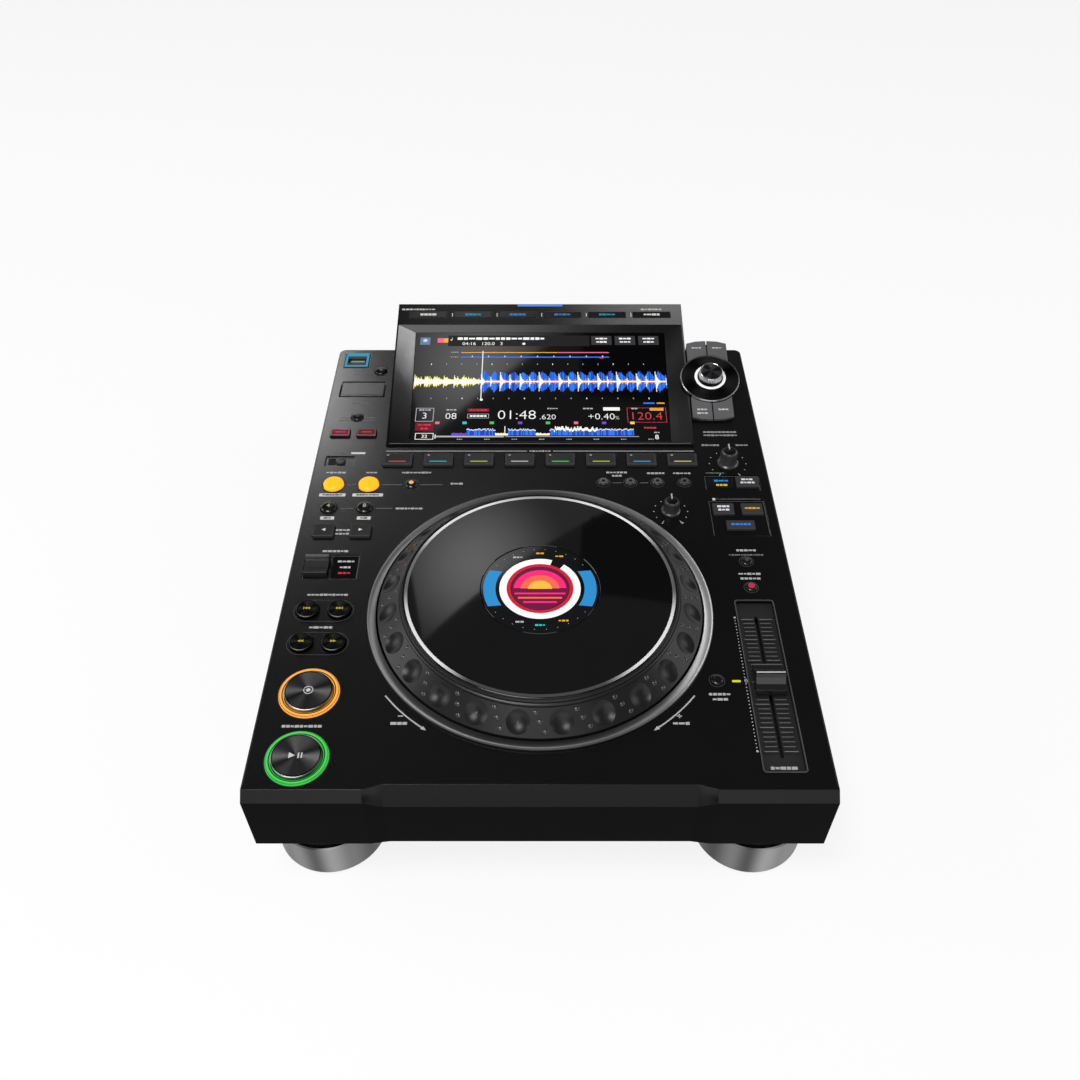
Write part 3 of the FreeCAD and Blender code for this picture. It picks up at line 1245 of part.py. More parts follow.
def make_foot_cores():
    """Dark cores of the feet: base pad, plug inside the sleeve and neck up to the pan."""
    made = new_body("foot_cores")
    slab(made, "bases", lambda sketch: at_feet(sketch, ("foot_radius - 1.4",)), "0", "pad_high")
    slab(made, "plugs", lambda sketch: at_feet(sketch, ("foot_radius - foot_wall - seat",)), "pad_high", "foot_high - 1")
    slab(made, "necks", lambda sketch: at_feet(sketch, ("neck_radius",)), "foot_high - 1", "pan_low")
    return made


def make_screws():
    """Screws that hold the bottom pan to the case."""
    made = new_body("screws")

    def spots(radius):
        def draw(sketch):
            for place in BOSS_ROWS:
                circle(sketch, radius, "-boss_x", place)
                circle(sketch, radius, "boss_x", place)
        return draw

    slab(made, "heads", spots("screw_head"), "pan_low - head_high", "pan_low")
    slab(made, "shanks", spots("screw_radius"), "pan_low", "pan_low + pan_thick + screw_long - 1")
    return made


make_top_case()
make_bottom_pan()
make_rear_panel()
make_sockets()
make_display_housing()
make_screen_glass()
make_menu_keys()
make_jog_ring()
make_jog_base()
make_jog_wheel()
make_jog_plate()
make_jog_display()
make_light_rings()
make_fader_track()
make_fader_cap()
make_selector_base()
make_selector_knob()
make_selector_keys()
for knob in KNOBS:
    make_knob(*knob)
make_direction_lever()
make_card_lid()
make_power_key()
for label, x, y, radius, rise in ROUND_KEYS:
    round_key(label, x, y, radius, rise)
for label, x, y, wide, deep, rise in SQUARE_KEYS:
    square_key(label, x, y, wide, deep, rise)
for i, place in enumerate(HOT_PLACES, start=1):
    square_key(f"hot_cue_key_{i}", place, "hot_y", "hot_wide", "hot_deep", "2.2")


def make_sync_keys():
    """Two sync keys and the wider one below them, on one carrier."""
    made = new_body("sync_keys", "column_x + 1", "0", "deck_top")

    def outlines(grow):
        def draw(sketch):
            for side in ("-", "+"):
                oblong(sketch, f"sync_wide + {grow}", f"sync_deep + {grow}", f"{side}sync_gap / 2", "sync_y")
            oblong(sketch, f"keysync_wide + {grow}", f"keysync_deep + {grow}", "0", "keysync_y")
        return draw

    slab(made, "caps", outlines("0"), KEY_FLANGE_LOW, "1")
    slab(made, "flanges", outlines("2 * key_flange"), KEY_FLANGE_LOW, KEY_FLANGE_TOP)
    chamfer_top(made, "edges", "1", "0.5")
    return made


def make_memory_keys():
    """Four small round keys in a row, moulded as one strip."""
    made = new_body("memory_keys", "memory_first", "memory_y", "deck_top")

    def outlines(radius):
        def draw(sketch):
            for place in MEMORY_PLACES:
                circle(sketch, radius, place, "0")
        return draw

    slab(made, "caps", outlines("memory_key"), KEY_FLANGE_LOW, "2")
    slab(made, "flanges", outlines("memory_key + key_flange"), KEY_FLANGE_LOW, KEY_FLANGE_TOP)
    chamfer_top(made, "edges", "2", "0.5")
    return made


make_sync_keys()
make_memory_keys()
make_circuit_boards()
make_power_supply()
make_foot_sleeves()
make_foot_cores()
make_screws()

doc.recompute()
for item in doc.Objects:
    if "Invalid" in item.State or "Error" in item.State:
        raise RuntimeError(f"{item.Label} failed")
for made in nodes:
    if made.Shape.isNull() or not made.Shape.isValid():
        raise RuntimeError(f"{made.Label} has no valid shape")
for made in nodes:
    made.Shape.exportStep(f"parts/{made.Label}.step")
print(len(nodes), "parts written")
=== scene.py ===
"""Dresses the tabletop media player: finishes, lights, printing and small pieces on the fixed frame.

It also sets the stage: camera, lamps, floor and surroundings.

Lengths in the helper functions are millimetres, as on the drawing board; meshes are made in metres.
"""

import json
import math
import random

import bmesh
import bpy
from mathutils import Matrix, Vector

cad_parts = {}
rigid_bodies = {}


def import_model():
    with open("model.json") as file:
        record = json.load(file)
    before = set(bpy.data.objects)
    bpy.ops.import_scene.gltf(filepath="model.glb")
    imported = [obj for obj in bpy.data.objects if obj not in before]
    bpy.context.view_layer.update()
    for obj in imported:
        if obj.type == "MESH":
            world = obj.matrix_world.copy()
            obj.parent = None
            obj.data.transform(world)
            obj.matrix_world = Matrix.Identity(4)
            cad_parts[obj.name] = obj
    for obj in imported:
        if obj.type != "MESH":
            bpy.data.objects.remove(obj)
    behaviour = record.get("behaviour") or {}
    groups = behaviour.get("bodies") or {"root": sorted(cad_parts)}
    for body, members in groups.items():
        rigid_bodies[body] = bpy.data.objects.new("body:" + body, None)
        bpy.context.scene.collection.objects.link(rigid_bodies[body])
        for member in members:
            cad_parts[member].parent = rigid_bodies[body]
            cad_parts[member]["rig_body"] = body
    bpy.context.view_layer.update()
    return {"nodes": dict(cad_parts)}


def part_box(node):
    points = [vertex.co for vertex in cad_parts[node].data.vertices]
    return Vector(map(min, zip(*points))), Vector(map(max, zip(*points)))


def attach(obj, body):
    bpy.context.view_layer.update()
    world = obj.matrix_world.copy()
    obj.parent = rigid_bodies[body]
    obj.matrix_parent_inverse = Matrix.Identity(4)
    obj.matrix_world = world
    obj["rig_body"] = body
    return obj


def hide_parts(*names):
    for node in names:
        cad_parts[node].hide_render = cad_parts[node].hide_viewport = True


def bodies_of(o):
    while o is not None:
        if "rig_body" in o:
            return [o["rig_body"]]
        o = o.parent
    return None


bl_info = {
    "name": "Tabletop Media Player",
    "version": (1, 0, 0),
    "blender": (4, 5, 0),
    "location": "View3D > Sidebar > Player",
    "description": "Finishes, lights and printing for a tabletop media player",
    "category": "Object",
}

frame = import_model()

MM = 0.001
PRINT = 0.06  # how far a printed shape stands above its surface
SINK = 0.25  # how far a laid-on shape reaches into what carries it
DECK_TOP = 93.6
RECESS_FLOOR = 92.6
JOG_Y = -87.1
PLATE_TOP = 111.8
DIMPLES = 24
FADER_FLOOR = 91.0
FADER_Y = -145.8
FADER_TRAVEL = 100.0
SLIDE_X = 136.9
SPEED_Y = 53.0
ADJUST_X, ADJUST_Y = 91.0, 2.0
SELECTOR_X, SELECTOR_Y = 131.9, 138.6
MEMORY_X, MEMORY_PITCH, MEMORY_Y = 45.4, 19.3, 32.0
SOCKET_X = -148.8
FLANGE = 1.2  # how far a round key's flange stands out under the deck
REAR_FACE = 195.6
REAR_MIDDLE = 66.0
PHONO_X, PHONO_PITCH = 60.0, 22.0
POWER_X = -82.0
CAMERA_PLACE = (0, -0.522379, 0.583836)
SENSOR = 36.0
SHIFT = 41.8 / 1080  # the lens's shift, as a share of the picture's height
FLOOR_WHITE = 0.84  # the share of plain white in what is seen of the floor
CARD_DISTANCE = 3.0
CARD_CENTRE = Vector((0, 0, 0.1))


def tilted(x, y, z, degrees=0.0):
    """A plane through a point, climbing towards the rear."""
    return Matrix.Translation((x * MM, y * MM, z * MM)) @ Matrix.Rotation(math.radians(degrees), 4, "X")


def facing_back(x, y, z):
    """An upright plane that faces the rear; its X runs towards the side on the player's left."""
    return (Matrix.Translation((x * MM, y * MM, z * MM)) @ Matrix.Rotation(math.pi, 4, "Z")
            @ Matrix.Rotation(math.pi / 2, 4, "X"))


SCREEN_TILT = math.degrees(math.atan2(110.0 - 94.9, 197.0 - 75.5))
HOUSE_TILT = math.degrees(math.atan2(118.0 - 95.0, 226.5 - 73.0))
DECK = tilted(0, 0, DECK_TOP)
RECESS = tilted(0, 0, RECESS_FLOOR)
SCREEN = tilted(0, 75.5, 94.9, SCREEN_TILT)
HOUSE = tilted(0, 73.0, 95.0, HOUSE_TILT)
PLATE = tilted(0, JOG_Y, PLATE_TOP)
SELECTOR = tilted(SELECTOR_X, SELECTOR_Y, 105.9, 14.0)
TRACK = tilted(SLIDE_X, FADER_Y, FADER_FLOOR)
REAR = facing_back(0, REAR_FACE, REAR_MIDDLE)


# Settings


class PlayerFinishes(bpy.types.PropertyGroup):
    """Colours that someone may want to change."""

    case: bpy.props.FloatVectorProperty(
        name="Case", description="Satin plastic of the case", subtype="COLOR", size=3,
        default=(0.0042, 0.0042, 0.0044), min=0, max=1)
    printing: bpy.props.FloatVectorProperty(
        name="Printing", description="Grey of the printed marks", subtype="COLOR", size=3,
        default=(0.42, 0.42, 0.42), min=0, max=1)
    cue_light: bpy.props.FloatVectorProperty(
        name="Cue ring", description="Light of the upper large key", subtype="COLOR", size=3,
        default=(0.88, 0.36, 0.035), min=0, max=1)
    play_light: bpy.props.FloatVectorProperty(
        name="Play ring", description="Light of the lower large key", subtype="COLOR", size=3,
        default=(0.03, 0.5, 0.06), min=0, max=1)
    loop_light: bpy.props.FloatVectorProperty(
        name="Loop keys", description="Light of the two loop keys", subtype="COLOR", size=3,
        default=(1.0, 0.42, 0.01), min=0, max=1)
    socket_light: bpy.props.FloatVectorProperty(
        name="Socket frame", description="Light round the memory socket", subtype="COLOR", size=3,
        default=(0.03, 0.24, 0.36), min=0, max=1)


class PlayerSizes(bpy.types.PropertyGroup):
    """Sizes of the small pieces that the scene adds."""

    bump: bpy.props.FloatProperty(
        name="Bump radius", description="Radius of a bump between two finger dimples", default=1.75 * MM,
        unit="LENGTH")
    line: bpy.props.FloatProperty(
        name="Printed line", description="Width of a printed line", default=0.55 * MM, unit="LENGTH")
    ridge: bpy.props.FloatProperty(
        name="Ridge pitch", description="Distance between the ridges of the slider's floor", default=3.3 * MM,
        unit="LENGTH")
    knurls: bpy.props.IntProperty(
        name="Knurls", description="Ribs round the selector knob", default=40, min=12)


class PlayerStage(bpy.types.PropertyGroup):
    """Camera and lamps."""

    lens: bpy.props.FloatProperty(
        name="Lens", description="Focal length of the camera", default=34.301, unit="CAMERA")
    pitch: bpy.props.FloatProperty(
        name="Pitch", description="How far the camera looks below the horizon", default=math.radians(46.981),
        subtype="ANGLE")
    top_power: bpy.props.FloatProperty(
        name="Top lamp", description="Power of the lamp above", default=30.0, unit="POWER")
    card: bpy.props.FloatProperty(
        name="Card", description="Brightness of the card that the gloss reflects", default=2.1, min=0)


# Finishes


NODE_SETTINGS = ("operation", "data_type", "gradient_type", "direction_type", "axis", "samples",
                 "interpolation_type")
WEAR = 0.1  # how far a finish's roughness varies, as a share of it


def add(tree, kind, **values):
    """A shader node with its settings and plain inputs set."""
    made = tree.nodes.new(kind)
    for key, value in values.items():
        if key in NODE_SETTINGS:
            setattr(made, key, value)
        else:
            made.inputs[key.replace("_", " ")].default_value = value
    return made


def join(tree, source, output, target, socket):
    tree.links.new(source.outputs[output], target.inputs[socket])


def finish(name, colour, roughness, metallic=0.0, specular=0.5, mottle=0.15, mottle_size=40.0, grain=0.02,
           grain_size=2600.0, edge=0.0, glow=None, glow_strength=1.0):
    """A finish whose colour, roughness and surface vary a little, as moulded or metal pieces do."""
    found = bpy.data.materials.get(name)
    if found:
        return found
    made = bpy.data.materials.new(name)
    made.use_nodes = True
    tree = made.node_tree
    shader = tree.nodes["Principled BSDF"]
    shader.inputs["Metallic"].default_value = metallic
    shader.inputs["Specular IOR Level"].default_value = specular
    where = add(tree, "ShaderNodeTexCoord")
    cloud = add(tree, "ShaderNodeTexNoise", Scale=mottle_size, Detail=4.0)
    join(tree, where, "Object", cloud, "Vector")
    shade = add(tree, "ShaderNodeMix", data_type="RGBA")
    shade.inputs["A"].default_value = [max(0.0, c * (1 - mottle)) for c in colour[:3]] + [1]
    shade.inputs["B"].default_value = [min(1.0, c * (1 + mottle)) for c in colour[:3]] + [1]
    join(tree, cloud, "Fac", shade, "Factor")
    tree.links.new([out for out in shade.outputs if out.type == "RGBA"][0], shader.inputs["Base Color"])
    spread = add(tree, "ShaderNodeMapRange", To_Min=max(0.02, roughness * (1 - WEAR)),
                 To_Max=min(1.0, roughness * (1 + WEAR)))
    speck = add(tree, "ShaderNodeTexNoise", Scale=mottle_size * 6, Detail=3.0)
    join(tree, where, "Object", speck, "Vector")
    join(tree, speck, "Fac", spread, "Value")
    join(tree, spread, "Result", shader, "Roughness")
    dust = add(tree, "ShaderNodeTexNoise", Scale=grain_size, Detail=2.0)
    join(tree, where, "Object", dust, "Vector")
    bump = add(tree, "ShaderNodeBump", Strength=min(1.0, grain * 6), Distance=0.05 * MM)
    join(tree, dust, "Fac", bump, "Height")
    if edge:
        soft = add(tree, "ShaderNodeBevel", samples=6, Radius=edge * MM)
        join(tree, soft, "Normal", bump, "Normal")
    join(tree, bump, "Normal", shader, "Normal")
    if glow:
        shader.inputs["Emission Color"].default_value = list(glow[:3]) + [1]
        shader.inputs["Emission Strength"].default_value = glow_strength
    return made


def by_facing(tree, axis, start, end, low, high):
    """A value that runs from low to high as a face turns towards an axis."""
    split = add(tree, "ShaderNodeSeparateXYZ")
    level = add(tree, "ShaderNodeMapRange", From_Min=start, From_Max=end, To_Min=low, To_Max=high)
    join(tree, add(tree, "ShaderNodeNewGeometry"), "Normal", split, "Vector")
    join(tree, split, axis, level, "Value")
    return level


def shade_walls_by_facing(material, top, wall, flat=1.0):
    """Satin on top, with painted shade on upright walls: their gloss is dulled by the way they face; a flat
    under 1 also dulls what doesn't lean to the right.
    """
    tree = material.node_tree
    both = add(tree, "ShaderNodeMath", operation="MULTIPLY")
    join(tree, by_facing(tree, "Z", 0.3, 0.7, wall, top), "Result", both, 0)
    join(tree, by_facing(tree, "X", 0.03, 0.1, flat, 1.0), "Result", both, 1)
    join(tree, both, "Value", tree.nodes["Principled BSDF"], "Specular IOR Level")
    return material


# Painted sheen of turned metal, standing in for its reflections: a place round the circle, from the left and
# through the front, and a share
CAP_PAINTED_SHEEN = ((0.0, 0.5), (0.08, 0.15), (0.17, 0.9), (0.25, 0.35), (0.34, 0.2), (0.46, 0.75), (0.56, 0.12),
             (0.68, 1.25), (0.76, 1.5), (0.86, 0.2), (1.0, 0.5))
RING_PAINTED_SHEEN = ((0.0, 0.32), (0.12, 0.3), (0.22, 0.15), (0.3, 0.15), (0.36, 0.28), (0.43, 0.95), (0.5, 1.25),
              (0.56, 1.1), (0.62, 0.68), (0.68, 0.6), (0.75, 0.3), (0.9, 0.5), (1.0, 0.32))
TRIM_PAINTED_SHEEN = ((0.0, 0.1), (0.05, 0.7), (0.12, 0.75), (0.17, 0.05), (0.32, 0.05), (0.38, 0.75), (0.45, 0.7),
              (0.5, 0.09), (0.56, 0.1), (0.62, 0.8), (0.68, 0.75), (0.75, 0.36), (0.83, 0.75), (0.89, 0.75),
              (0.95, 0.12), (1.0, 0.1))
FOOT_PAINTED_SHEEN = ((0.0, 0.3), (0.12, 0.08), (0.18, 0.36), (0.225, 0.12), (0.275, 0.62), (0.33, 0.34), (0.4, 0.12),
              (0.55, 0.1), (0.66, 0.5), (0.8, 0.12), (1.0, 0.3))


def spun(name, colour, centre=None, tones=CAP_PAINTED_SHEEN, roughness=0.3, metallic=1.0):
    """Turned metal with fine rings and a painted sheen in its colour, round its centre, or by the way it
    faces if it has none.
    """
    made = finish(name, colour, roughness, metallic=metallic, mottle=0.08, grain=0.0)
    tree = made.node_tree
    if tree.nodes.get("rings"):
        return made
    shader = tree.nodes["Principled BSDF"]
    shader.inputs["Anisotropic"].default_value = 0.8
    turn = add(tree, "ShaderNodeTangent", direction_type="RADIAL", axis="Z")
    join(tree, turn, "Tangent", shader, "Tangent")
    where = add(tree, "ShaderNodeTexCoord")
    rings = add(tree, "ShaderNodeTexNoise", Scale=900.0, Detail=3.0)
    rings.name = "rings"
    fan = add(tree, "ShaderNodeTexGradient", gradient_type="RADIAL")
    if centre:
        shift = add(tree, "ShaderNodeVectorMath", operation="SUBTRACT")
        shift.inputs[1].default_value = (centre[0] * MM, centre[1] * MM, 0)
        join(tree, where, "Object", shift, 0)
        join(tree, shift, "Vector", fan, "Vector")
    else:
        join(tree, add(tree, "ShaderNodeNewGeometry"), "Normal", fan, "Vector")
    # The ramp paints light and dark sectors of sheen into the base colour.
    sheen = add(tree, "ShaderNodeValToRGB")
    sheen.color_ramp.interpolation = "EASE"
    for index, (place, tone) in enumerate(tones):
        stop = sheen.color_ramp.elements[index] if index < 2 else sheen.color_ramp.elements.new(place)
        stop.position = place
        stop.color = [min(1.0, tone * c) for c in colour[:3]] + [1]
    join(tree, fan, "Fac", sheen, "Fac")
    join(tree, sheen, "Color", shader, "Base Color")
    stretch = add(tree, "ShaderNodeMapping", Scale=(1, 1, 30))
    join(tree, where, "Object", stretch, "Vector")
    join(tree, stretch, "Vector", rings, "Vector")
    bump = add(tree, "ShaderNodeBump", Strength=0.15, Distance=0.02 * MM)
    join(tree, rings, "Fac", bump, "Height")
    join(tree, bump, "Normal", shader, "Normal")
    return made


def lit(name, colour, strength=1.0, base=0.25):
    """A translucent or printed surface with light behind it."""
    return finish(name, [c * base for c in colour], 0.3, glow=colour, glow_strength=strength, mottle=0.2,
                  mottle_size=300, grain=0.0, specular=0.3)


def printing(name="print_grey", tone=None):
    return finish(name, tone or bpy.context.scene.player_finishes.printing, 0.6, specular=0.2, mottle=0.1,
                  mottle_size=900, grain=0.02)


def paint(nodes, material):
    """Gives solids of the frame a finish."""
    for node in [nodes] if isinstance(nodes, str) else nodes:
        mesh = frame["nodes"][node].data
        mesh.materials.clear()
        mesh.materials.append(material)


# Meshes


def body_of(node):
    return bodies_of(frame["nodes"][node])[0]


class Spot:
    """Where a solid of the frame is, in millimetres."""

    def __init__(self, node):
        low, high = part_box(node)
        self.x, self.y = (low.x + high.x) / 2 / MM, (low.y + high.y) / 2 / MM
        self.wide, self.deep = (high.x - low.x) / MM, (high.y - low.y) / MM
        self.top = high.z / MM

    @property
    def radius(self):
        """A round key's own radius, without its flange."""
        return self.wide / 2 - FLANGE


def point_of(matrix, x, y, z):
    """A point of a plane, from millimetres to metres."""
    return matrix @ Vector((x * MM, y * MM, z * MM))


def bring_in(name, mesh_maker, material, body, smooth=False):
    """Turns a bmesh into an object that rides on a body."""
    mesh = bpy.data.meshes.new(name)
    bmesh.ops.recalc_face_normals(mesh_maker, faces=mesh_maker.faces)
    mesh_maker.to_mesh(mesh)
    mesh_maker.free()
    if smooth:
        mesh.shade_smooth()
        mesh.set_sharp_from_angle(angle=math.radians(35))
    made = bpy.data.objects.new(name, mesh)
    bpy.context.scene.collection.objects.link(made)
    mesh.materials.append(material)
    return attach(made, body)


def prism(mesh, matrix, points, low, high, slope=0.0):
    """A closed block between two heights over an outline; slope draws the top in."""
    cx = sum(p[0] for p in points) / len(points)
    cy = sum(p[1] for p in points) / len(points)

    def corner(x, y, z, pull):
        keep = 1 - pull / (math.hypot(x - cx, y - cy) or 1.0)
        return mesh.verts.new(point_of(matrix, cx + (x - cx) * keep, cy + (y - cy) * keep, z))

    under = [corner(x, y, low, 0) for x, y in points]
    over = [corner(x, y, high, slope) for x, y in points]
    mesh.faces.new(list(reversed(under)))
    mesh.faces.new(over)
    for i in range(len(points)):
        j = (i + 1) % len(points)
        mesh.faces.new((under[i], under[j], over[j], over[i]))


def box_points(x, y, wide, deep, corner=0.0, steps=4):
    """The outline of a rectangle, with round corners if asked."""
    points = []
    for quarter, (sx, sy) in enumerate(((-1, -1), (1, -1), (1, 1), (-1, 1))):
        cx, cy = x + sx * (wide / 2 - corner), y + sy * (deep / 2 - corner)
        if corner:
            points += arc_points(cx, cy, corner, 90 * quarter - 180, 90 * quarter - 90, steps)
        else:
            points.append((cx, cy))
    return points


def arc_points(x, y, radius, start, end, steps=12):
    angles = [math.radians(start + (end - start) * i / steps) for i in range(steps + 1)]
    return [(x + radius * math.cos(angle), y + radius * math.sin(angle)) for angle in angles]


class Sheet:
    """Flat shapes on one plane, gathered by finish so that each finish becomes one mesh."""

    def __init__(self, name, matrix, body, low=-SINK, high=PRINT):
        self.name, self.matrix, self.body = name, matrix, body
        self.low, self.high, self.mark = low, high, high + 0.03
        self.meshes = {}

    def mesh(self, material):
        return self.meshes.setdefault(material.name, bmesh.new())

    def shape(self, material, points, high=None, slope=0.0):
        prism(self.mesh(material), self.matrix, points, self.low, self.high if high is None else high, slope)

    def box(self, material, x, y, wide, deep, corner=0.0, **heights):
        self.shape(material, box_points(x, y, wide, deep, corner), **heights)

    def disc(self, material, x, y, radius, steps=24, **heights):
        self.shape(material, arc_points(x, y, radius, 0, 360, steps)[:-1], **heights)

    def ring(self, material, x, y, inner, outer, start=0.0, end=360.0, steps=48, high=None):
        """A flat ring or part of one."""
        mesh, top = self.mesh(material), self.high if high is None else high
        closed = end - start >= 360
        rows = []
        for i in range(steps if closed else steps + 1):
            angle = math.radians(start + (end - start) * i / steps)
            dx, dy = math.cos(angle), math.sin(angle)
            rows.append([mesh.verts.new(point_of(self.matrix, x + radius * dx, y + radius * dy, z))
                         for radius, z in ((inner, self.low), (inner, top), (outer, top), (outer, self.low))])
        for first, second in zip(rows, rows[1:] + (rows[:1] if closed else [])):
            for side in range(4):
                after = (side + 1) % 4
                mesh.faces.new((first[side], first[after], second[after], second[side]))
        if not closed:
            mesh.faces.new(rows[0])
            mesh.faces.new(list(reversed(rows[-1])))

    def line(self, material, x0, y0, x1, y1, width):
        length = math.hypot(x1 - x0, y1 - y0)
        nx, ny = -(y1 - y0) / length * width / 2, (x1 - x0) / length * width / 2
        self.shape(material, [(x0 - nx, y0 - ny), (x1 - nx, y1 - ny), (x1 + nx, y1 + ny), (x0 + nx, y0 + ny)])

    def frame(self, material, x, y, wide, deep, width, corner=0.0):
        """A rectangle's outline."""
        outer = box_points(x, y, wide, deep, corner or 0.01)
        inner = box_points(x, y, wide - 2 * width, deep - 2 * width, max(0.01, corner - width))
        for i in range(len(outer)):
            j = (i + 1) % len(outer)
            if math.dist(outer[i], outer[j]) > 0.02:
                self.shape(material, [outer[i], outer[j], inner[j], inner[i]])

    def dashes(self, material, x, y, wide, tall, seed, gap=0.5):
        """A row of short bars of uneven length, in place of a printed word."""
        dice = random.Random(seed)
        lengths = [dice.uniform(0.9, 1.6) * tall for _ in range(max(1, round(wide / (tall * 1.25 + gap))))]
        scale = (wide - gap * (len(lengths) - 1)) / sum(lengths)
        left = x - wide / 2
        for length in lengths:
            bar = length * scale
            self.box(material, left + bar / 2, y, bar, tall * dice.choice((0.7, 1.0, 1.0)), high=self.mark)
            left += bar + gap

    def digits(self, material, text, x, y, tall, align="CENTER", thin=0.0):
        """Plain numbers or signs in the built-in lettering; thin draws the strokes in."""
        curve = bpy.data.curves.new("digits", type="FONT")
        curve.body = text
        curve.size = tall * 1.38 * MM
        curve.align_x = align
        curve.align_y = "CENTER"
        curve.resolution_u = 3
        curve.offset = -thin * MM
        curve.extrude = (self.mark - self.low) / 2 * MM
        holder = bpy.data.objects.new("digits", curve)
        bpy.context.scene.collection.objects.link(holder)
        flat = bpy.data.meshes.new_from_object(holder)
        bpy.data.objects.remove(holder)
        bpy.data.curves.remove(curve)
        middle = (self.mark + self.low) / 2
        flat.transform(self.matrix @ Matrix.Translation((x * MM, y * MM, middle * MM)))
        self.mesh(material).from_mesh(flat)
        bpy.data.meshes.remove(flat)

    def lay(self, slot):
        """Makes one object for each finish."""
        for key, mesh in self.meshes.items():
            piece = bring_in(f"{self.name}_{key}", mesh, bpy.data.materials[key], self.body)


def lathe(name, profile, material, body, matrix, steps=96, closed=False):
    """A profile of radius and height turned about the plane's upright line; a function gives one per step."""
    mesh = bmesh.new()
    rows = []
    for i in range(steps):
        angle = 2 * math.pi * i / steps
        points = profile(i) if callable(profile) else profile
        dx, dy = math.cos(angle), math.sin(angle)
        rows.append([mesh.verts.new(point_of(matrix, r * dx, r * dy, z)) for r, z in points])
    for first, second in zip(rows, rows[1:] + rows[:1]):
        for i in range(len(first) if closed else len(first) - 1):
            j = (i + 1) % len(first)
            mesh.faces.new((first[i], first[j], second[j], second[i]))
    bmesh.ops.remove_doubles(mesh, verts=mesh.verts, dist=1e-7)
    return bring_in(name, mesh, material, body, smooth=True)


def dome_key(node, radius, crown, material):
    """A domed key with its flange, in place of a round key's plain solid."""
    spot = Spot(node)
    low, rise = -4.3, spot.top - DECK_TOP
    points = [(0.0, low), (radius + FLANGE, low), (radius + FLANGE, low + 1.0), (radius, low + 1.0)]
    for step in range(9):
        angle = math.radians(90 * step / 8)
        points.append((radius * math.cos(angle) if step < 8 else 0.0, rise - crown + crown * math.sin(angle)))
    made = lathe(node + "_dome", points, material, body_of(node), tilted(spot.x, spot.y, DECK_TOP), steps=64)
    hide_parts(node)


class PlayerOperator(bpy.types.Operator):
    """Shared behaviour of the operators below."""

    bl_options = {"REGISTER", "UNDO"}

    def execute(self, context):
        self.make(context.scene)
        return {"FINISHED"}


# The case


class PLAYER_OT_case(PlayerOperator):
    """Finishes the case, its inner parts and the feet, and lays the seams of the sides"""

    bl_idname = "player.case"
    bl_label = "Case and feet"

    def make(self, scene):
        colour = scene.player_finishes.case
        # The case and the housing get painted shade: the gloss of their walls is dulled by the way they face.
        paint("top_case", shade_walls_by_facing(finish("case_satin", colour, 0.2, grain=0.02, edge=0.5), 0.2, 0.006))
        housing = finish("housing_satin", colour, 0.2, grain=0.01, edge=0.3)
        paint("display_housing", shade_walls_by_facing(housing, 0.5, 0.02, flat=0.3))
        paint(["bottom_pan", "rear_panel"], finish("pan_black", (0.012, 0.012, 0.012), 0.5, specular=0.35,
                                                   grain=0.08, grain_size=1500))
        paint(["jog_base", "circuit_boards"], finish("inner_dark", (0.01, 0.014, 0.012), 0.6))
        paint("power_supply", finish("cage_steel", (0.42, 0.42, 0.43), 0.4, metallic=1.0))
        paint("screws", finish("screw_steel", (0.3, 0.3, 0.31), 0.35, metallic=1.0))
        # The feet's sheen is painted: their colour is lighter or darker by the way each face turns.
        paint("foot_sleeves", spun("foot_silver", (0.5, 0.5, 0.5), tones=FOOT_PAINTED_SHEEN, roughness=0.35))
        paint("foot_cores", finish("foot_rubber", (0.012, 0.012, 0.012), 0.7, specular=0.3, grain=0.1,
                                   grain_size=1200))
        seam = Sheet("case_seam", DECK, "case", low=-0.4, high=0.03)
        line = finish("seam_grey", (0.03, 0.03, 0.03), 0.4)
        for side in (-1, 1):
            seam.line(line, side * 163.9, -219, side * 163.9, 190, 0.35)
        seam.lay("case_plastic")


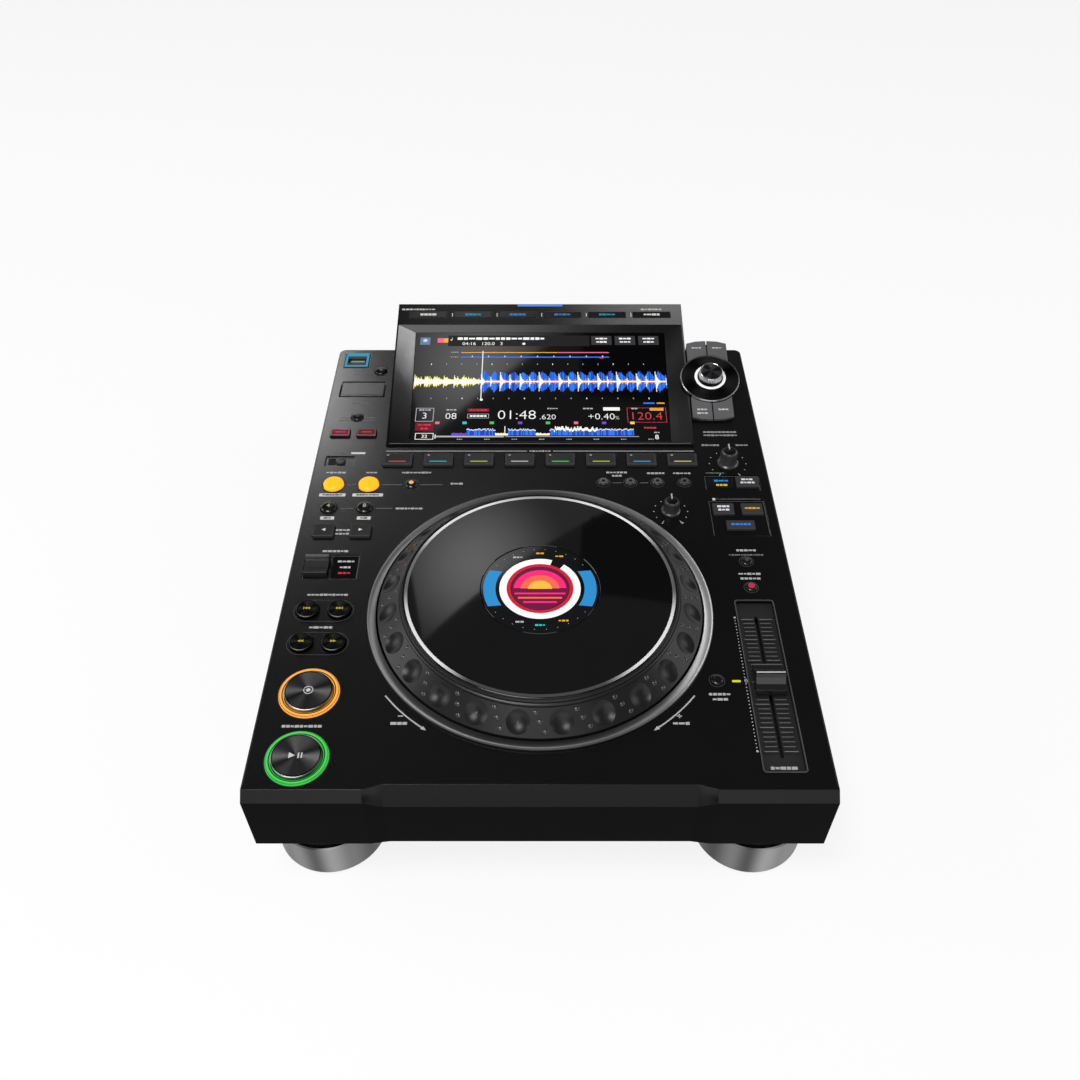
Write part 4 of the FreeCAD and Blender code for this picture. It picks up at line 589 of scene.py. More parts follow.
class PLAYER_OT_printing(PlayerOperator):
    """Prints the lines, boxes, scales and marks on the deck"""

    bl_idname = "player.printing"
    bl_label = "Deck printing"

    def make(self, scene):
        grey, pale = printing(), finish("print_white", (0.62, 0.62, 0.6), 0.6, specular=0.2, mottle_size=900)
        dim = printing("print_dim", (0.14, 0.14, 0.14))
        ink = finish("print_ink", (0.05, 0.05, 0.05), 0.6, mottle_size=900)
        width = scene.player_sizes.line / MM
        sheet = Sheet("deck_print", DECK, "case")
        # Loop row, beat loop row and their boxes
        for left, right, y in ((-137.6, -131.6, 30.0), (-112.8, -98.6, 30.0), (-85.6, -69.5, 30.0),
                               (-139.6, -130.2, 5.2), (-114.6, -103.0, 5.2), (51.8, 58.8, MEMORY_Y),
                               (71.4, 77.6, MEMORY_Y)):
            sheet.line(dim, left, y, right, y, width)
        for x, y, wide, seed in ((-59.6, 31.0, 8.6, 1), (-91.4, 5.0, 18.5, 2), (-147.5, 43.0, 14, 3),
                                 (-121.7, 43.0, 7.6, 4), (-89.2, 43.0, 21, 5), (-137.1, -36.9, 17, 6),
                                 (-136.8, -76.4, 26, 7), (-137.2, -104.0, 14.5, 8), (-137.3, -178.8, 23, 9),
                                 (55.4, 43.2, 15, 10), (55.4, 39.6, 7, 11), (83.6, 42.3, 12.6, 12),
                                 (102.4, 42.3, 12.6, 13), (138.2, -36.1, 13, 14), (137.5, -57.8, 14.5, 15),
                                 (137.5, -62.0, 13, 16), (106.2, -155.9, 12.6, 17), (106.2, -159.6, 9, 18)):
            sheet.dashes(grey, x, y, wide, 1.75, seed)
        for x, y, wide, seed in ((-147.3, 107.0, 9, 20), (-147.6, 103.6, 11, 21), (-130.6, 107.0, 9, 22),
                                 (-130.6, 103.6, 10, 23), (-147.0, 64.8, 8, 24), (137.6, -40.4, 23, 25),
                                 (140.0, 14.7, 32, 26), (140.0, 14.75, 32, 27),
                                 (-144.0, 163.0, 9, 29), (-138.6, 124.9, 14, 30), (126.3, 42.6, 13, 31)):
            sheet.dashes(dim, x, y, wide, 1.3, seed, gap=0.35)
        for x, y, wide, seed in ((135.4, 89.4, 25, 33), (135.4, 85.6, 25, 34), (126.6, 74.0, 13, 35),
                                 (150.0, 74.0, 9, 36)):
            sheet.dashes(printing("print_mid", (0.26, 0.26, 0.26)), x, y, wide, 1.9, seed, gap=0.4)
        for x, y, wide, tall in ((-146.9, 19.1, 18.6, 3.1), (-121.9, 19.1, 21.6, 3.1),
                                 (-147.2, -4.6, 9.6, 3.1), (-121.9, -4.6, 9.6, 3.1),
                                 (-134.0, 64.8, 10.6, 2.0)):
            sheet.box(pale, x, y, wide, tall, corner=0.5)
        over = Sheet("deck_ink", DECK, "case", low=0, high=PRINT * 2)
        for x, y, wide, seed in ((-146.9, 19.1, 14, 40), (-121.9, 19.1, 16, 41), (-147.2, -4.6, 5, 42),
                                 (-121.9, -4.6, 5, 43)):
            over.dashes(ink, x, y, wide, 1.5, seed, gap=0.35)
        over.lay("case_plastic")
        sheet.box(pale, 122.4, 14.7, 2.0, 2.0)
        for y in (-16.6, -20.2):
            sheet.dashes(grey, -134.8, y, 9.4, 1.7, 50 + int(y))
        # Line behind the hot cue keys
        for left, right in ((-113.6, -9.6), (9.6, 113.6)):
            sheet.line(grey, left, 67.2, right, 67.2, 0.7)
        sheet.dashes(grey, 0, 67.2, 15.6, 1.5, 60)
        # Arcs beside the wheel, with their arrow heads and signs
        for side in (-1, 1):
            start, end = (217.4, 233.6) if side < 0 else (322.6, 306.4)
            outer = arc_points(0, JOG_Y, 115.4, start, end, 20)
            inner = arc_points(0, JOG_Y, 114.5, start, end, 20)
            for i in range(20):
                sheet.shape(grey, [outer[i], outer[i + 1], inner[i + 1], inner[i]])
            tip = Vector(outer[-1]) * 0.5 + Vector(inner[-1]) * 0.5
            along = (Vector(outer[-1]) - Vector(outer[-2])).normalized()
            across = Vector((-along.y, along.x)) * 1.3
            sheet.shape(grey, [tuple(point) for point in (tip + along * 3.4, tip + across, tip - across)])
            sheet.line(grey, side * 81.0 - 1.5, -171.6, side * 81.0 + 1.5, -171.6, 0.7)
            sheet.dashes(grey, side * 81.6, -176.8, 9.6, 1.9, 70 + side)
        sheet.line(grey, 81.0, -173.1, 81.0, -170.1, 0.7)
        # Dots of the tempo scale and of the two knobs
        for index in range(41):
            y = FADER_Y - FADER_TRAVEL / 2 + FADER_TRAVEL / 40 * index
            sheet.disc(grey, 122.8, y, 0.75 if index in (0, 40) else 0.4, steps=10)
        sheet.digits(grey, "0", 123.2, FADER_Y - 0.2, 3.0)
        for x, y, radius in ((SLIDE_X, SPEED_Y, 13.4), (ADJUST_X, ADJUST_Y, 11.8)):
            for step in range(11):
                angle = math.radians(-60 + 30 * step)
                dx, dy = math.cos(angle), math.sin(angle)
                if step in (0, 5, 10):
                    near, far = radius - 1, radius + 1.6
                    sheet.line(grey, x + near * dx, y + near * dy, x + far * dx, y + far * dy, 0.5)
                else:
                    sheet.disc(grey, x + radius * dx, y + radius * dy, 0.45, steps=10)
        sheet.digits(grey, "-", 84.0, -9.8, 3.0)
        sheet.digits(grey, "+", 98.0, -9.8, 3.0)
        sheet.lay("case_plastic")
        recess = Sheet("recess_print", RECESS, "case", low=-0.2, high=0.05)
        edge = printing("recess_edge", (0.09, 0.09, 0.09))
        for x, y, wide, deep in ((137.7, 32.4, 38.6, 15.6), (137.9, -4.2, 38.6, 35.6),
                                 (-138.1, -51.2, 35.6, 21.6), (-146.5, 56.0, 20.6, 10.5)):
            recess.frame(edge, x, y, wide, deep, 0.45)
        recess.lay("case_plastic")


# The display


class PLAYER_OT_display(PlayerOperator):
    """Lays the lit picture on the screen and finishes the keys above it"""

    bl_idname = "player.display"
    bl_label = "Display"

    def make(self, scene):
        paint("screen_glass", finish("screen_gloss", (0.0025, 0.0025, 0.003), 0.05, specular=0.5, grain=0.0,
                                     mottle=0.3))
        self.picture()
        self.strip()

    def picture(self):
        """A generic playing screen: bars, wave, numbers and boxes."""
        sheet = Sheet("screen", SCREEN, "case", low=-0.15, high=0.04)
        white, pale = lit("lit_white", (0.8, 0.8, 0.78)), lit("lit_pale", (0.38, 0.38, 0.4))
        blue, deep = lit("lit_blue", (0.02, 0.16, 0.75)), lit("lit_deep_blue", (0.01, 0.05, 0.4))
        orange, red = lit("lit_orange", (0.9, 0.3, 0.05)), lit("lit_red", (0.6, 0.02, 0.05))
        cream, yellow = lit("lit_cream", (0.95, 0.85, 0.6)), lit("lit_yellow", (0.75, 0.7, 0.05))
        panel, key = lit("lit_panel", (0.012, 0.012, 0.013), 0.6), lit("lit_key", (0.035, 0.035, 0.037), 0.8)
        teal, green = lit("lit_teal", (0.02, 0.5, 0.42)), lit("lit_green", (0.05, 0.5, 0.08))
        pink, violet = lit("lit_pink", (0.8, 0.12, 0.22)), lit("lit_violet", (0.14, 0.06, 0.5))
        # Title bar: two icons, a note sign, bars in place of words, numbers, three boxes
        sheet.box(panel, -17, 112.6, 114, 12.6)
        sheet.box(lit("lit_haze", (0.12, 0.18, 0.3)), -92.6, 112.2, 8.0, 8.6)
        sheet.disc(lit("lit_cloud", (0.5, 0.58, 0.7)), -92.6, 113.0, 1.8, high=0.06)
        sheet.box(pink, -78.4, 113.0, 8.6, 5.2)
        sheet.box(orange, -76.0, 113.0, 3.6, 5.2, high=0.06)
        sheet.disc(white, -71.6, 113.6, 0.8, steps=12)
        sheet.line(white, -70.9, 113.6, -70.9, 116.4, 0.4)
        sheet.dashes(white, -31.6, 115.2, 70, 2.9, 101, gap=0.9)
        sheet.digits(white, "04:16   120.0   3", -46.2, 109.0, 3.6)
        sheet.disc(white, -13.0, 109.0, 1.3, high=0.06)
        for x in (49.6, 68.6, 87.6):
            sheet.box(key, x, 113.0, 16.4, 10.6)
            sheet.dashes(white, x, 115.2, 9.4, 1.9, 110 + int(x))
            sheet.dashes(white, x, 111.2, 8.4, 1.9, 120 + int(x))
        # Phrase lines
        sheet.box(orange, -4, 98.6, 118, 0.9)
        sheet.box(pink, 34, 98.6, 40, 0.95, high=0.06)
        sheet.box(blue, -4, 93.2, 118, 1.2)
        for index in range(9):
            sheet.box(white if index % 3 else cream, -54 + 13 * index, 93.9, 0.8, 1.6)
        sheet.box(red, 49, 92.4, 3, 1.6)
        for y in (99.0, 93.4):
            sheet.dashes(pale, -68.2, y, 6.0, 0.8, int(y))
        self.wave(sheet, blue, deep, white, cream, yellow, orange)
        # Playing mark and beat ticks
        sheet.box(white, -45.6, 73.0, 0.7, 55.0, high=0.1)
        sheet.disc(white, -45.2, 45.2, 1.2, steps=12, high=0.1)
        tick = lit("lit_tick", (0.3, 0.3, 0.32))
        for index in range(15):
            sheet.box(white if index % 4 == 0 else tick, -86 + 12 * index, 85.0, 0.6, 1.6)
            sheet.box(white if index % 4 == 2 else tick, -84 + 12 * index, 46.6, 0.7, 1.4)
        sheet.box(blue, 83.6, 41.4, 8.6, 1.6)
        sheet.box(orange, 92.6, 41.4, 6.0, 1.4)
        # Numbers
        sheet.frame(pale, -87.7, 29.0, 13.8, 14.4, 0.5)
        sheet.dashes(pale, -87.7, 34.0, 8.8, 1.4, 130)
        sheet.digits(white, "3", -87.7, 27.6, 6.6, thin=0.12)
        sheet.dashes(pale, -67.6, 34.2, 7.4, 1.4, 131)
        sheet.digits(white, "08", -67.6, 27.2, 6.6, thin=0.12)
        dark = lit("lit_dark_red", (0.16, 0.005, 0.02))
        sheet.box(dark, -47.0, 33.9, 16.4, 3.4)
        sheet.dashes(red, -47.0, 33.9, 13.0, 1.5, 132)
        sheet.frame(pale, -47.0, 27.6, 16.4, 4.6, 0.4)
        sheet.dashes(white, -47.0, 27.6, 12.6, 1.7, 133)
        sheet.digits(white, "01:48", -17.6, 28.4, 9.8, thin=0.2)
        sheet.digits(white, ".620", -0.6, 26.4, 5.4, align="LEFT", thin=0.1)
        sheet.dashes(pale, 9.6, 35.6, 8.0, 1.2, 134)
        sheet.dashes(pale, 36.6, 35.6, 7.4, 1.3, 135)
        sheet.box(white, 54.6, 35.2, 12.6, 3.4)
        sheet.digits(white, "+0.40", 46.6, 26.8, 6.6, thin=0.12)
        sheet.digits(pale, "%", 58.6, 25.6, 3.6)
        sheet.frame(red, 81.2, 28.6, 29.8, 15.6, 0.4)
        sheet.dashes(pale, 72.0, 35.6, 4.4, 1.4, 136)
        sheet.box(orange, 89.0, 35.0, 10.6, 3.2)
        sheet.digits(lit("lit_rose", (0.5, 0.05, 0.06)), "120.4", 80.6, 27.2, 8.4, thin=0.16)
        # Cue marks, overview and the boxes at the left
        sheet.box(dark, -87.2, 16.4, 13.6, 8.4)
        sheet.dashes(red, -87.2, 18.2, 9.4, 1.6, 137)
        sheet.dashes(red, -87.2, 14.4, 5.4, 1.6, 138)
        sheet.frame(white, -86.6, 6.4, 13.8, 6.6, 0.5)
        sheet.digits(white, "32", -86.6, 6.2, 3.4)
        for x, colour in ((-77.6, pink), (-57.0, teal), (-36.4, green), (-15.0, violet), (6.0, green),
                          (27.2, pink), (48.4, violet), (69.8, yellow)):
            sheet.box(colour, x, 20.4, 3.2, 2.6)
        sheet.dashes(red, 83.0, 15.2, 9.0, 1.6, 139)
        sheet.dashes(pale, 87.6, 10.4, 4.0, 1.1, 140)
        sheet.digits(white, "8", 87.4, 5.4, 4.6)
        self.overview(sheet, blue, deep, violet, white, cream, pale)
        sheet.lay("screen_glass")

    def wave(self, sheet, blue, deep, white, cream, yellow, orange):
        """The large wave: pale before the playing mark, blue with bright beats after it."""
        dice = random.Random(7)
        middle, step = 65.2, 0.62
        x = -98.0
        while x < -46.4:
            beat = math.exp(-((x + 98.0) % 7.6) / 2.6)
            tall = 3.4 + 8.0 * beat * dice.uniform(0.55, 1.0)
            if dice.random() < 0.35:
                tall += 4.5 * dice.random()
            if x > -53:
                tall *= 0.7
            sheet.box(yellow, x, middle, step, tall * 1.3)
            sheet.box(cream, x, middle, step, tall, high=0.06)
            sheet.box(white, x, middle, step, tall * 0.62, high=0.08)
            x += step
        violet = lit("lit_violet", (0.14, 0.06, 0.5))
        while x < 98.6:
            place = (x + 46.4) % 15.2
            strong = place < 7.6
            part = place % 7.6
            swell = 0.5 + 0.5 * math.exp(-((part - 3.0) / 2.6) ** 2)
            tall = 24.5 * swell * dice.uniform(0.8, 1.0)
            sheet.box(deep if dice.random() < 0.3 else blue, x, middle, step, tall)
            bright = math.exp(-part / (1.5 if strong else 0.8))
            if bright > 0.1:
                sheet.box(cream, x, middle, step, (21.0 if strong else 14.0) * bright * 1.12, high=0.055)
                sheet.box(white, x, middle, step, (21.0 if strong else 14.0) * bright, high=0.06)
            warm = 5.0 * abs(math.sin(1.1 * x)) * dice.uniform(0.3, 1.0)
            sheet.box(violet if dice.random() < 0.3 else orange, x, middle, step, 1.4 + warm, high=0.05)
            sheet.box(cream, x, middle, step, 1.2, high=0.08)
            x += step

    def overview(self, sheet, blue, deep, violet, white, cream, pale):
        """The small wave of the whole piece, with its line and marks."""
        dice = random.Random(11)
        x = -66.0
        while x < 70:
            part = (x + 66) / 136
            quiet = part < 0.08 or 0.24 < part < 0.31 or 0.46 < part < 0.54
            warm = 0.56 < part < 0.8
            tall = dice.uniform(1.6, 2.8) if quiet else dice.uniform(4.6, 6.2)
            if warm and not quiet:
                tall += 3.0 * dice.random()
            colour = violet if part < 0.08 else cream if quiet else deep if dice.random() < 0.5 else blue
            if warm:
                sheet.box(cream, x, 7.4 + 0.85 * tall, 0.85, 0.3 * tall, high=0.06)
            sheet.box(colour, x, 7.4 + tall / 2, 0.85, tall)
            if not quiet:
                sheet.box(white, x, 7.4 + tall + 0.4, 0.85, 0.9)
            x += 0.8
        sheet.box(white, -26.4, 12.0, 0.6, 9.6, high=0.08)
        sheet.box(pale, -53.0, 6.2, 52, 1.5)
        sheet.box(lit("lit_tick", (0.3, 0.3, 0.32)), 24, 6.2, 100, 0.7)
        sheet.box(white, -78.4, 6.2, 0.7, 4.0)
        for index in range(8):
            sheet.dashes(pale, -60 + 20.4 * index, 3.4, 4.0, 0.8, 150 + index)

    def strip(self):
        """The six keys above the screen, their lit marks and the light bar at the rear."""
        paint("menu_keys", finish("menu_key_black", (0.006, 0.006, 0.006), 0.22, specular=0.5, edge=0.25))
        keys = Sheet("menu_mark", HOUSE, "menu_keys_body", low=0.0, high=0.46)
        case = Sheet("housing_mark", HOUSE, "case", low=-0.2, high=0.05)
        along = (213.6 - 73.0) / math.cos(math.radians(HOUSE_TILT))
        marks = [("menu_white", (0.5, 0.5, 0.48)), ("menu_teal", (0.015, 0.2, 0.3)),
                 ("menu_blue", (0.03, 0.15, 0.36))]
        marks += marks[::-1]
        white = printing("housing_white", (0.5, 0.5, 0.5))
        rim = printing("menu_rim", (0.05, 0.05, 0.05))
        for index, (name, colour) in enumerate(marks):
            x = (index - 2.5) * 36.6
            keys.dashes(lit(name, colour), x, along, 13.0, 2.3, 160 + index)
            case.frame(rim, x, along, 31.4, 7.8, 0.35)
            if index:
                case.box(white, x - 16.9, along, 0.8, 4.2)
        case.dashes(white, -100.0, along + 6.6, 27.0, 1.8, 170)
        case.dashes(white, 91.6, along + 6.6, 17.0, 1.8, 171)
        case.box(lit("bar_blue", (0.06, 0.2, 0.62), 1.1), 0, 153.6, 37.0, 2.2)
        lip = finish("lip_grey", (0.11, 0.11, 0.112), 0.3, specular=0.6)
        case.box(lip, 0, 1.1, 224.0, 0.55)
        keys.lay("key_black")
        case.lay("case_plastic")
        edge = Sheet("glass_edge", SCREEN, "case", low=-0.1, high=0.05)
        dark = finish("glass_border", (0.004, 0.004, 0.004), 0.3)
        edge.box(dark, 0, 1.0, 194, 1.2)
        edge.lay("screen_glass")


# The wheel


class PLAYER_OT_wheel(PlayerOperator):
    """Finishes the jog wheel and lays its bumps, trims and round display"""

    bl_idname = "player.wheel"
    bl_label = "Jog wheel"

    def make(self, scene):
        paint("jog_wheel", finish("wheel_satin", (0.01, 0.01, 0.0105), 0.3, specular=0.24, grain=0.03,
                                  mottle_size=300))
        # The ring's sheen is painted into its colour, by angle round the wheel's centre.
        silver = spun("ring_silver", (0.62, 0.62, 0.63), (0, JOG_Y), RING_PAINTED_SHEEN, 0.45)
        paint("jog_ring", silver)
        gloss = finish("plate_gloss", (0.004, 0.004, 0.004), 0.035, specular=0.55, grain=0.0, mottle=0.2)
        plate = lathe("plate_face", [(37.5, -1.9), (85.4, -1.9), (85.4, -0.5), (85.25, -0.2), (84.9, 0.0),
                                     (84.6, 0.0), (38.1, 0.0), (37.8, 0.0), (37.5, -0.3)],
                      gloss, "jog", PLATE, steps=256, closed=True)
        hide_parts("jog_plate")
        ring = lathe("jog_ring_face", [(103.5, 0.0), (103.5, 2.3), (103.9, 2.85), (104.6, 3.0), (108.0, 3.0),
                                       (109.0, 2.5), (109.5, 1.6), (109.6, 0.0)],
                     silver, "case", tilted(0, JOG_Y, DECK_TOP), steps=256, closed=True)
        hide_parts("jog_ring")
        # The trim is plain white, not metal; its bright crescents are painted highlights by angle round the
        # wheel.
        bright = spun("trim_painted_sheen", (1.0, 1.0, 1.0), (0, JOG_Y), TRIM_PAINTED_SHEEN, 0.4, 0.0)
        trim = lathe("wheel_trim", [(82.5, -0.4), (82.5, 0.1), (82.8, 0.18), (84.2, 0.18), (84.5, 0.1),
                                    (84.5, -0.4)], bright, "jog", PLATE, steps=256, closed=True)
        dark = finish("trim_dark", (0.012, 0.012, 0.012), 0.3, specular=0.3, grain=0.0)
        lip = lathe("wheel_lip", [(85.6, -1.4), (85.6, 0.1), (85.75, 0.12), (87.15, -1.0), (87.15, -1.4)],
                    dark, "jog", PLATE, steps=256, closed=True)
        step = lathe("wheel_step", [(87.2, -4.6), (88.75, -4.6), (88.75, -2.7), (88.2, -2.2), (87.55, -2.0),
                                    (87.2, -2.2)], dark, "jog", PLATE, steps=256, closed=True)
        self.bumps(scene.player_sizes.bump / MM)
        self.round_display()

    def bumps(self, radius):
        """Three small domes in a slanting row between each pair of finger dimples."""
        rubber = finish("bump_satin", (0.02, 0.02, 0.02), 0.25, specular=0.6, grain=0.0)
        mesh = bmesh.new()
        inner, outer = Vector((88.6, 107.6)), Vector((102.5, 97.0))
        slope = (outer - inner).normalized()
        up = Vector((-slope.y, slope.x))
        for gap in range(DIMPLES):
            for share, lean in ((0.16, -1.6), (0.47, 0.0), (0.8, 1.8)):
                spot = inner.lerp(outer, share)
                turn = math.radians(360 / DIMPLES * gap + lean)
                rows = []
                for level in range(4):
                    angle = math.radians(90 * level / 3)
                    ring_radius, rise = radius * math.cos(angle), 0.75 * math.sin(angle) - 0.2
                    ring = []
                    for step in range(12 if level < 3 else 1):
                        bearing = 2 * math.pi * step / 12
                        along, across = ring_radius * math.cos(bearing), ring_radius * math.sin(bearing)
                        r = spot.x + slope.x * along + up.x * rise
                        z = spot.y + slope.y * along + up.y * rise
                        x = r * math.cos(turn) - across * math.sin(turn)
                        y = r * math.sin(turn) + across * math.cos(turn)
                        ring.append(mesh.verts.new((x * MM, (y + JOG_Y) * MM, z * MM)))
                    rows.append(ring)
                for low, high in zip(rows[:2], rows[1:3]):
                    for step in range(12):
                        after = (step + 1) % 12
                        mesh.faces.new((low[step], low[after], high[after], high[step]))
                for step in range(12):
                    mesh.faces.new((rows[2][step], rows[2][(step + 1) % 12], rows[3][0]))
                mesh.faces.new(list(reversed(rows[0])))
        bring_in("wheel_bumps", mesh, rubber, "jog", smooth=True)

    def round_display(self):
        """The small display in the middle: rings, side bars, ticks and a plain sunset of bands."""
        glass = finish("lens_gloss", (0.004, 0.0042, 0.005), 0.05, specular=0.5, grain=0.0)
        face = lathe("round_lens", [(0.0, -9.0), (14.5, -9.0), (14.5, -5.0), (37.2, -5.0), (37.2, -0.5),
                                    (36.9, -0.2), (36.6, -0.2), (0.0, -0.2)], glass, "case", PLATE, steps=160)
        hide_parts("jog_display")
        sheet = Sheet("round_display", PLATE, "case", low=-0.4, high=-0.12)
        white, red = lit("lit_ring_white", (0.86, 0.84, 0.84)), lit("lit_ring_red", (0.5, 0.01, 0.03))
        side, pale = lit("lit_side_blue", (0.02, 0.22, 0.5)), lit("lit_pale", (0.38, 0.38, 0.4))
        sheet.ring(white, 0, 0, 20.9, 25.4, 72, 413, steps=72)
        sheet.ring(red, 0, 0, 18.4, 20.9)
        for left in (False, True):
            turn = 180 if left else 0
            outer = arc_points(0, 0, 35.4, turn - 25.5, turn + 25.5, 16)
            inner = arc_points(0, 0, 27.8, turn + 31, turn - 31, 16)
            sheet.shape(side, outer + inner)
        self.art(sheet)
        for start in range(0, 360, 6):
            if 28 < start % 180 < 152 and start % 12 == 0:
                sheet.ring(pale, 0, 0, 33.7, 34.0, start, start + 0.9, steps=2)
        amber, teal = lit("lit_amber", (0.6, 0.34, 0.02)), lit("lit_teal", (0.02, 0.5, 0.42))
        for angle, colour, length in ((118, pale, 6), (90, amber, 5), (66, amber, 5), (246, pale, 5),
                                      (270, teal, 6), (298, amber, 6)):
            x, y = 30.4 * math.cos(math.radians(angle)), 30.4 * math.sin(math.radians(angle))
            sheet.dashes(colour, x, y, length, 1.3, angle)
        sheet.lay("display_panel")

    def art(self, sheet):
        """Concentric half discs and bands in warm colours, drawn for this display."""
        night, rose = lit("art_night", (0.12, 0.005, 0.04)), lit("art_rose", (0.8, 0.02, 0.16))
        coral, sun = lit("art_coral", (0.85, 0.12, 0.06)), lit("art_sun", (0.9, 0.42, 0.05))
        sheet.disc(night, 0, 0, 18.0, steps=64, high=-0.11)
        for radius, colour, high in ((16.6, rose, -0.1), (12.2, coral, -0.09), (7.6, sun, -0.08)):
            sheet.shape(colour, arc_points(0, -1.2, radius, 4, 176, 32), high=high)
        for index, half in enumerate((15.8, 13.6, 10.4)):
            sheet.box(coral if index % 2 else rose, 0, -4.6 - 3.6 * index, 2 * half, 1.5, high=-0.1)


# Keys


ALL_HOT = [f"hot_cue_key_{number}" for number in range(1, 9)]
SPUN_KEYS = ["cue_key", "play_key", "search_back_key", "search_forward_key", "track_back_key",
             "track_forward_key"]


def triangle(x, y, size, left=False):
    """An arrow head pointing right or left."""
    way = -1 if left else 1
    back, half = x - way * size * 0.5, size * 0.58
    return [(back, y - half), (x + way * size * 0.55, y), (back, y + half)]


def on_top(node, name, rise=PRINT):
    """A sheet on the top of a key, riding with it."""
    spot = Spot(node)
    return Sheet(name, tilted(spot.x, spot.y, spot.top), body_of(node), low=-0.3, high=rise)


class PLAYER_OT_transport(PlayerOperator):
    """Finishes the large keys, the search keys and their light rings"""

    bl_idname = "player.transport"
    bl_label = "Transport keys"

    def make(self, scene):
        colours = scene.player_finishes
        ink = finish("key_ink", (0.55, 0.55, 0.55), 0.4)
        for node in SPUN_KEYS:
            spot = Spot(node)
            tone = 0.42 if spot.wide > 25 else 0.09
            # The keys' sheen is painted into their colour, by angle round each key's centre.
            paint(node, spun("spun_" + node, (tone, tone, tone), (spot.x, spot.y)))
            radius = spot.radius
            shade = finish("key_rim_dark", (0.02, 0.02, 0.02), 0.25, metallic=1.0)
            rim = lathe(node + "_rim", [(radius - 1.1, -0.3), (radius - 1.1, 0.05), (radius - 0.55, 0.05),
                                        (radius - 0.55, -0.3)], shade, body_of(node),
                        tilted(spot.x, spot.y, spot.top), closed=True)
        paint("light_rings", finish("light_bed", (0.012, 0.012, 0.012), 0.4))
        for node, colour in (("cue_key", colours.cue_light), ("play_key", colours.play_light)):
            spot = Spot(node)
            glow = lit(node + "_light", colour, 1.0)
            core = lit(node + "_core", [min(1.0, c * 1.05 + 0.05) for c in colour], 1.0)
            centre = tilted(spot.x, spot.y, DECK_TOP)
            ring = lathe(node + "_ring", [(14.9, -0.5), (14.9, 0.8), (15.2, 1.15), (17.3, 1.28), (17.9, 0.8),
                                          (18.1, -0.5)], glow, "case", centre, steps=128, closed=True)
            line = lathe(node + "_ring_core", [(16.15, 1.0), (16.15, 1.3), (16.7, 1.3), (16.7, 1.0)], core,
                         "case", centre, steps=128, closed=True)
        dark = finish("key_well_dark", (0.004, 0.004, 0.004), 0.5)
        sheet = on_top("play_key", "play_mark")
        sheet.shape(ink, triangle(-2.4, 0, 3.4))
        for x in (1.4, 3.2):
            sheet.box(ink, x, 0, 0.8, 3.6)
        sheet.lay("spun_metal")
        sheet = on_top("cue_key", "cue_mark")
        sheet.disc(ink, 0, 0, 1.3)
        sheet.ring(ink, 0, 0, 2.4, 2.9)
        sheet.lay("spun_metal")
        gold = lit("key_gold", (0.45, 0.36, 0.06), 0.8)
        for node in SPUN_KEYS[2:]:
            sheet = on_top(node, node + "_mark")
            back, skip = "back" in node, "track" in node
            for x in (-0.9, 0.9):
                sheet.shape(gold, triangle(x, 0, 1.8, left=back))
            if skip:
                sheet.box(gold, -2.2 if back else 2.2, 0, 0.5, 2.1)
            sheet.lay("spun_metal")
        bars = Sheet("key_bridge", DECK, "case", low=-0.2, high=0.1)
        edge = finish("bridge_grey", (0.045, 0.045, 0.045), 0.35)
        for y in (-90.0, -117.0):
            bars.frame(edge, -137.35, y, 38.6, 18.4, 0.5, corner=9.2)
        for y in (-155.1, -200.6):
            bars.ring(dark, -136.6, y, 18.3, 18.7, steps=96)
        bars.lay("case_plastic")


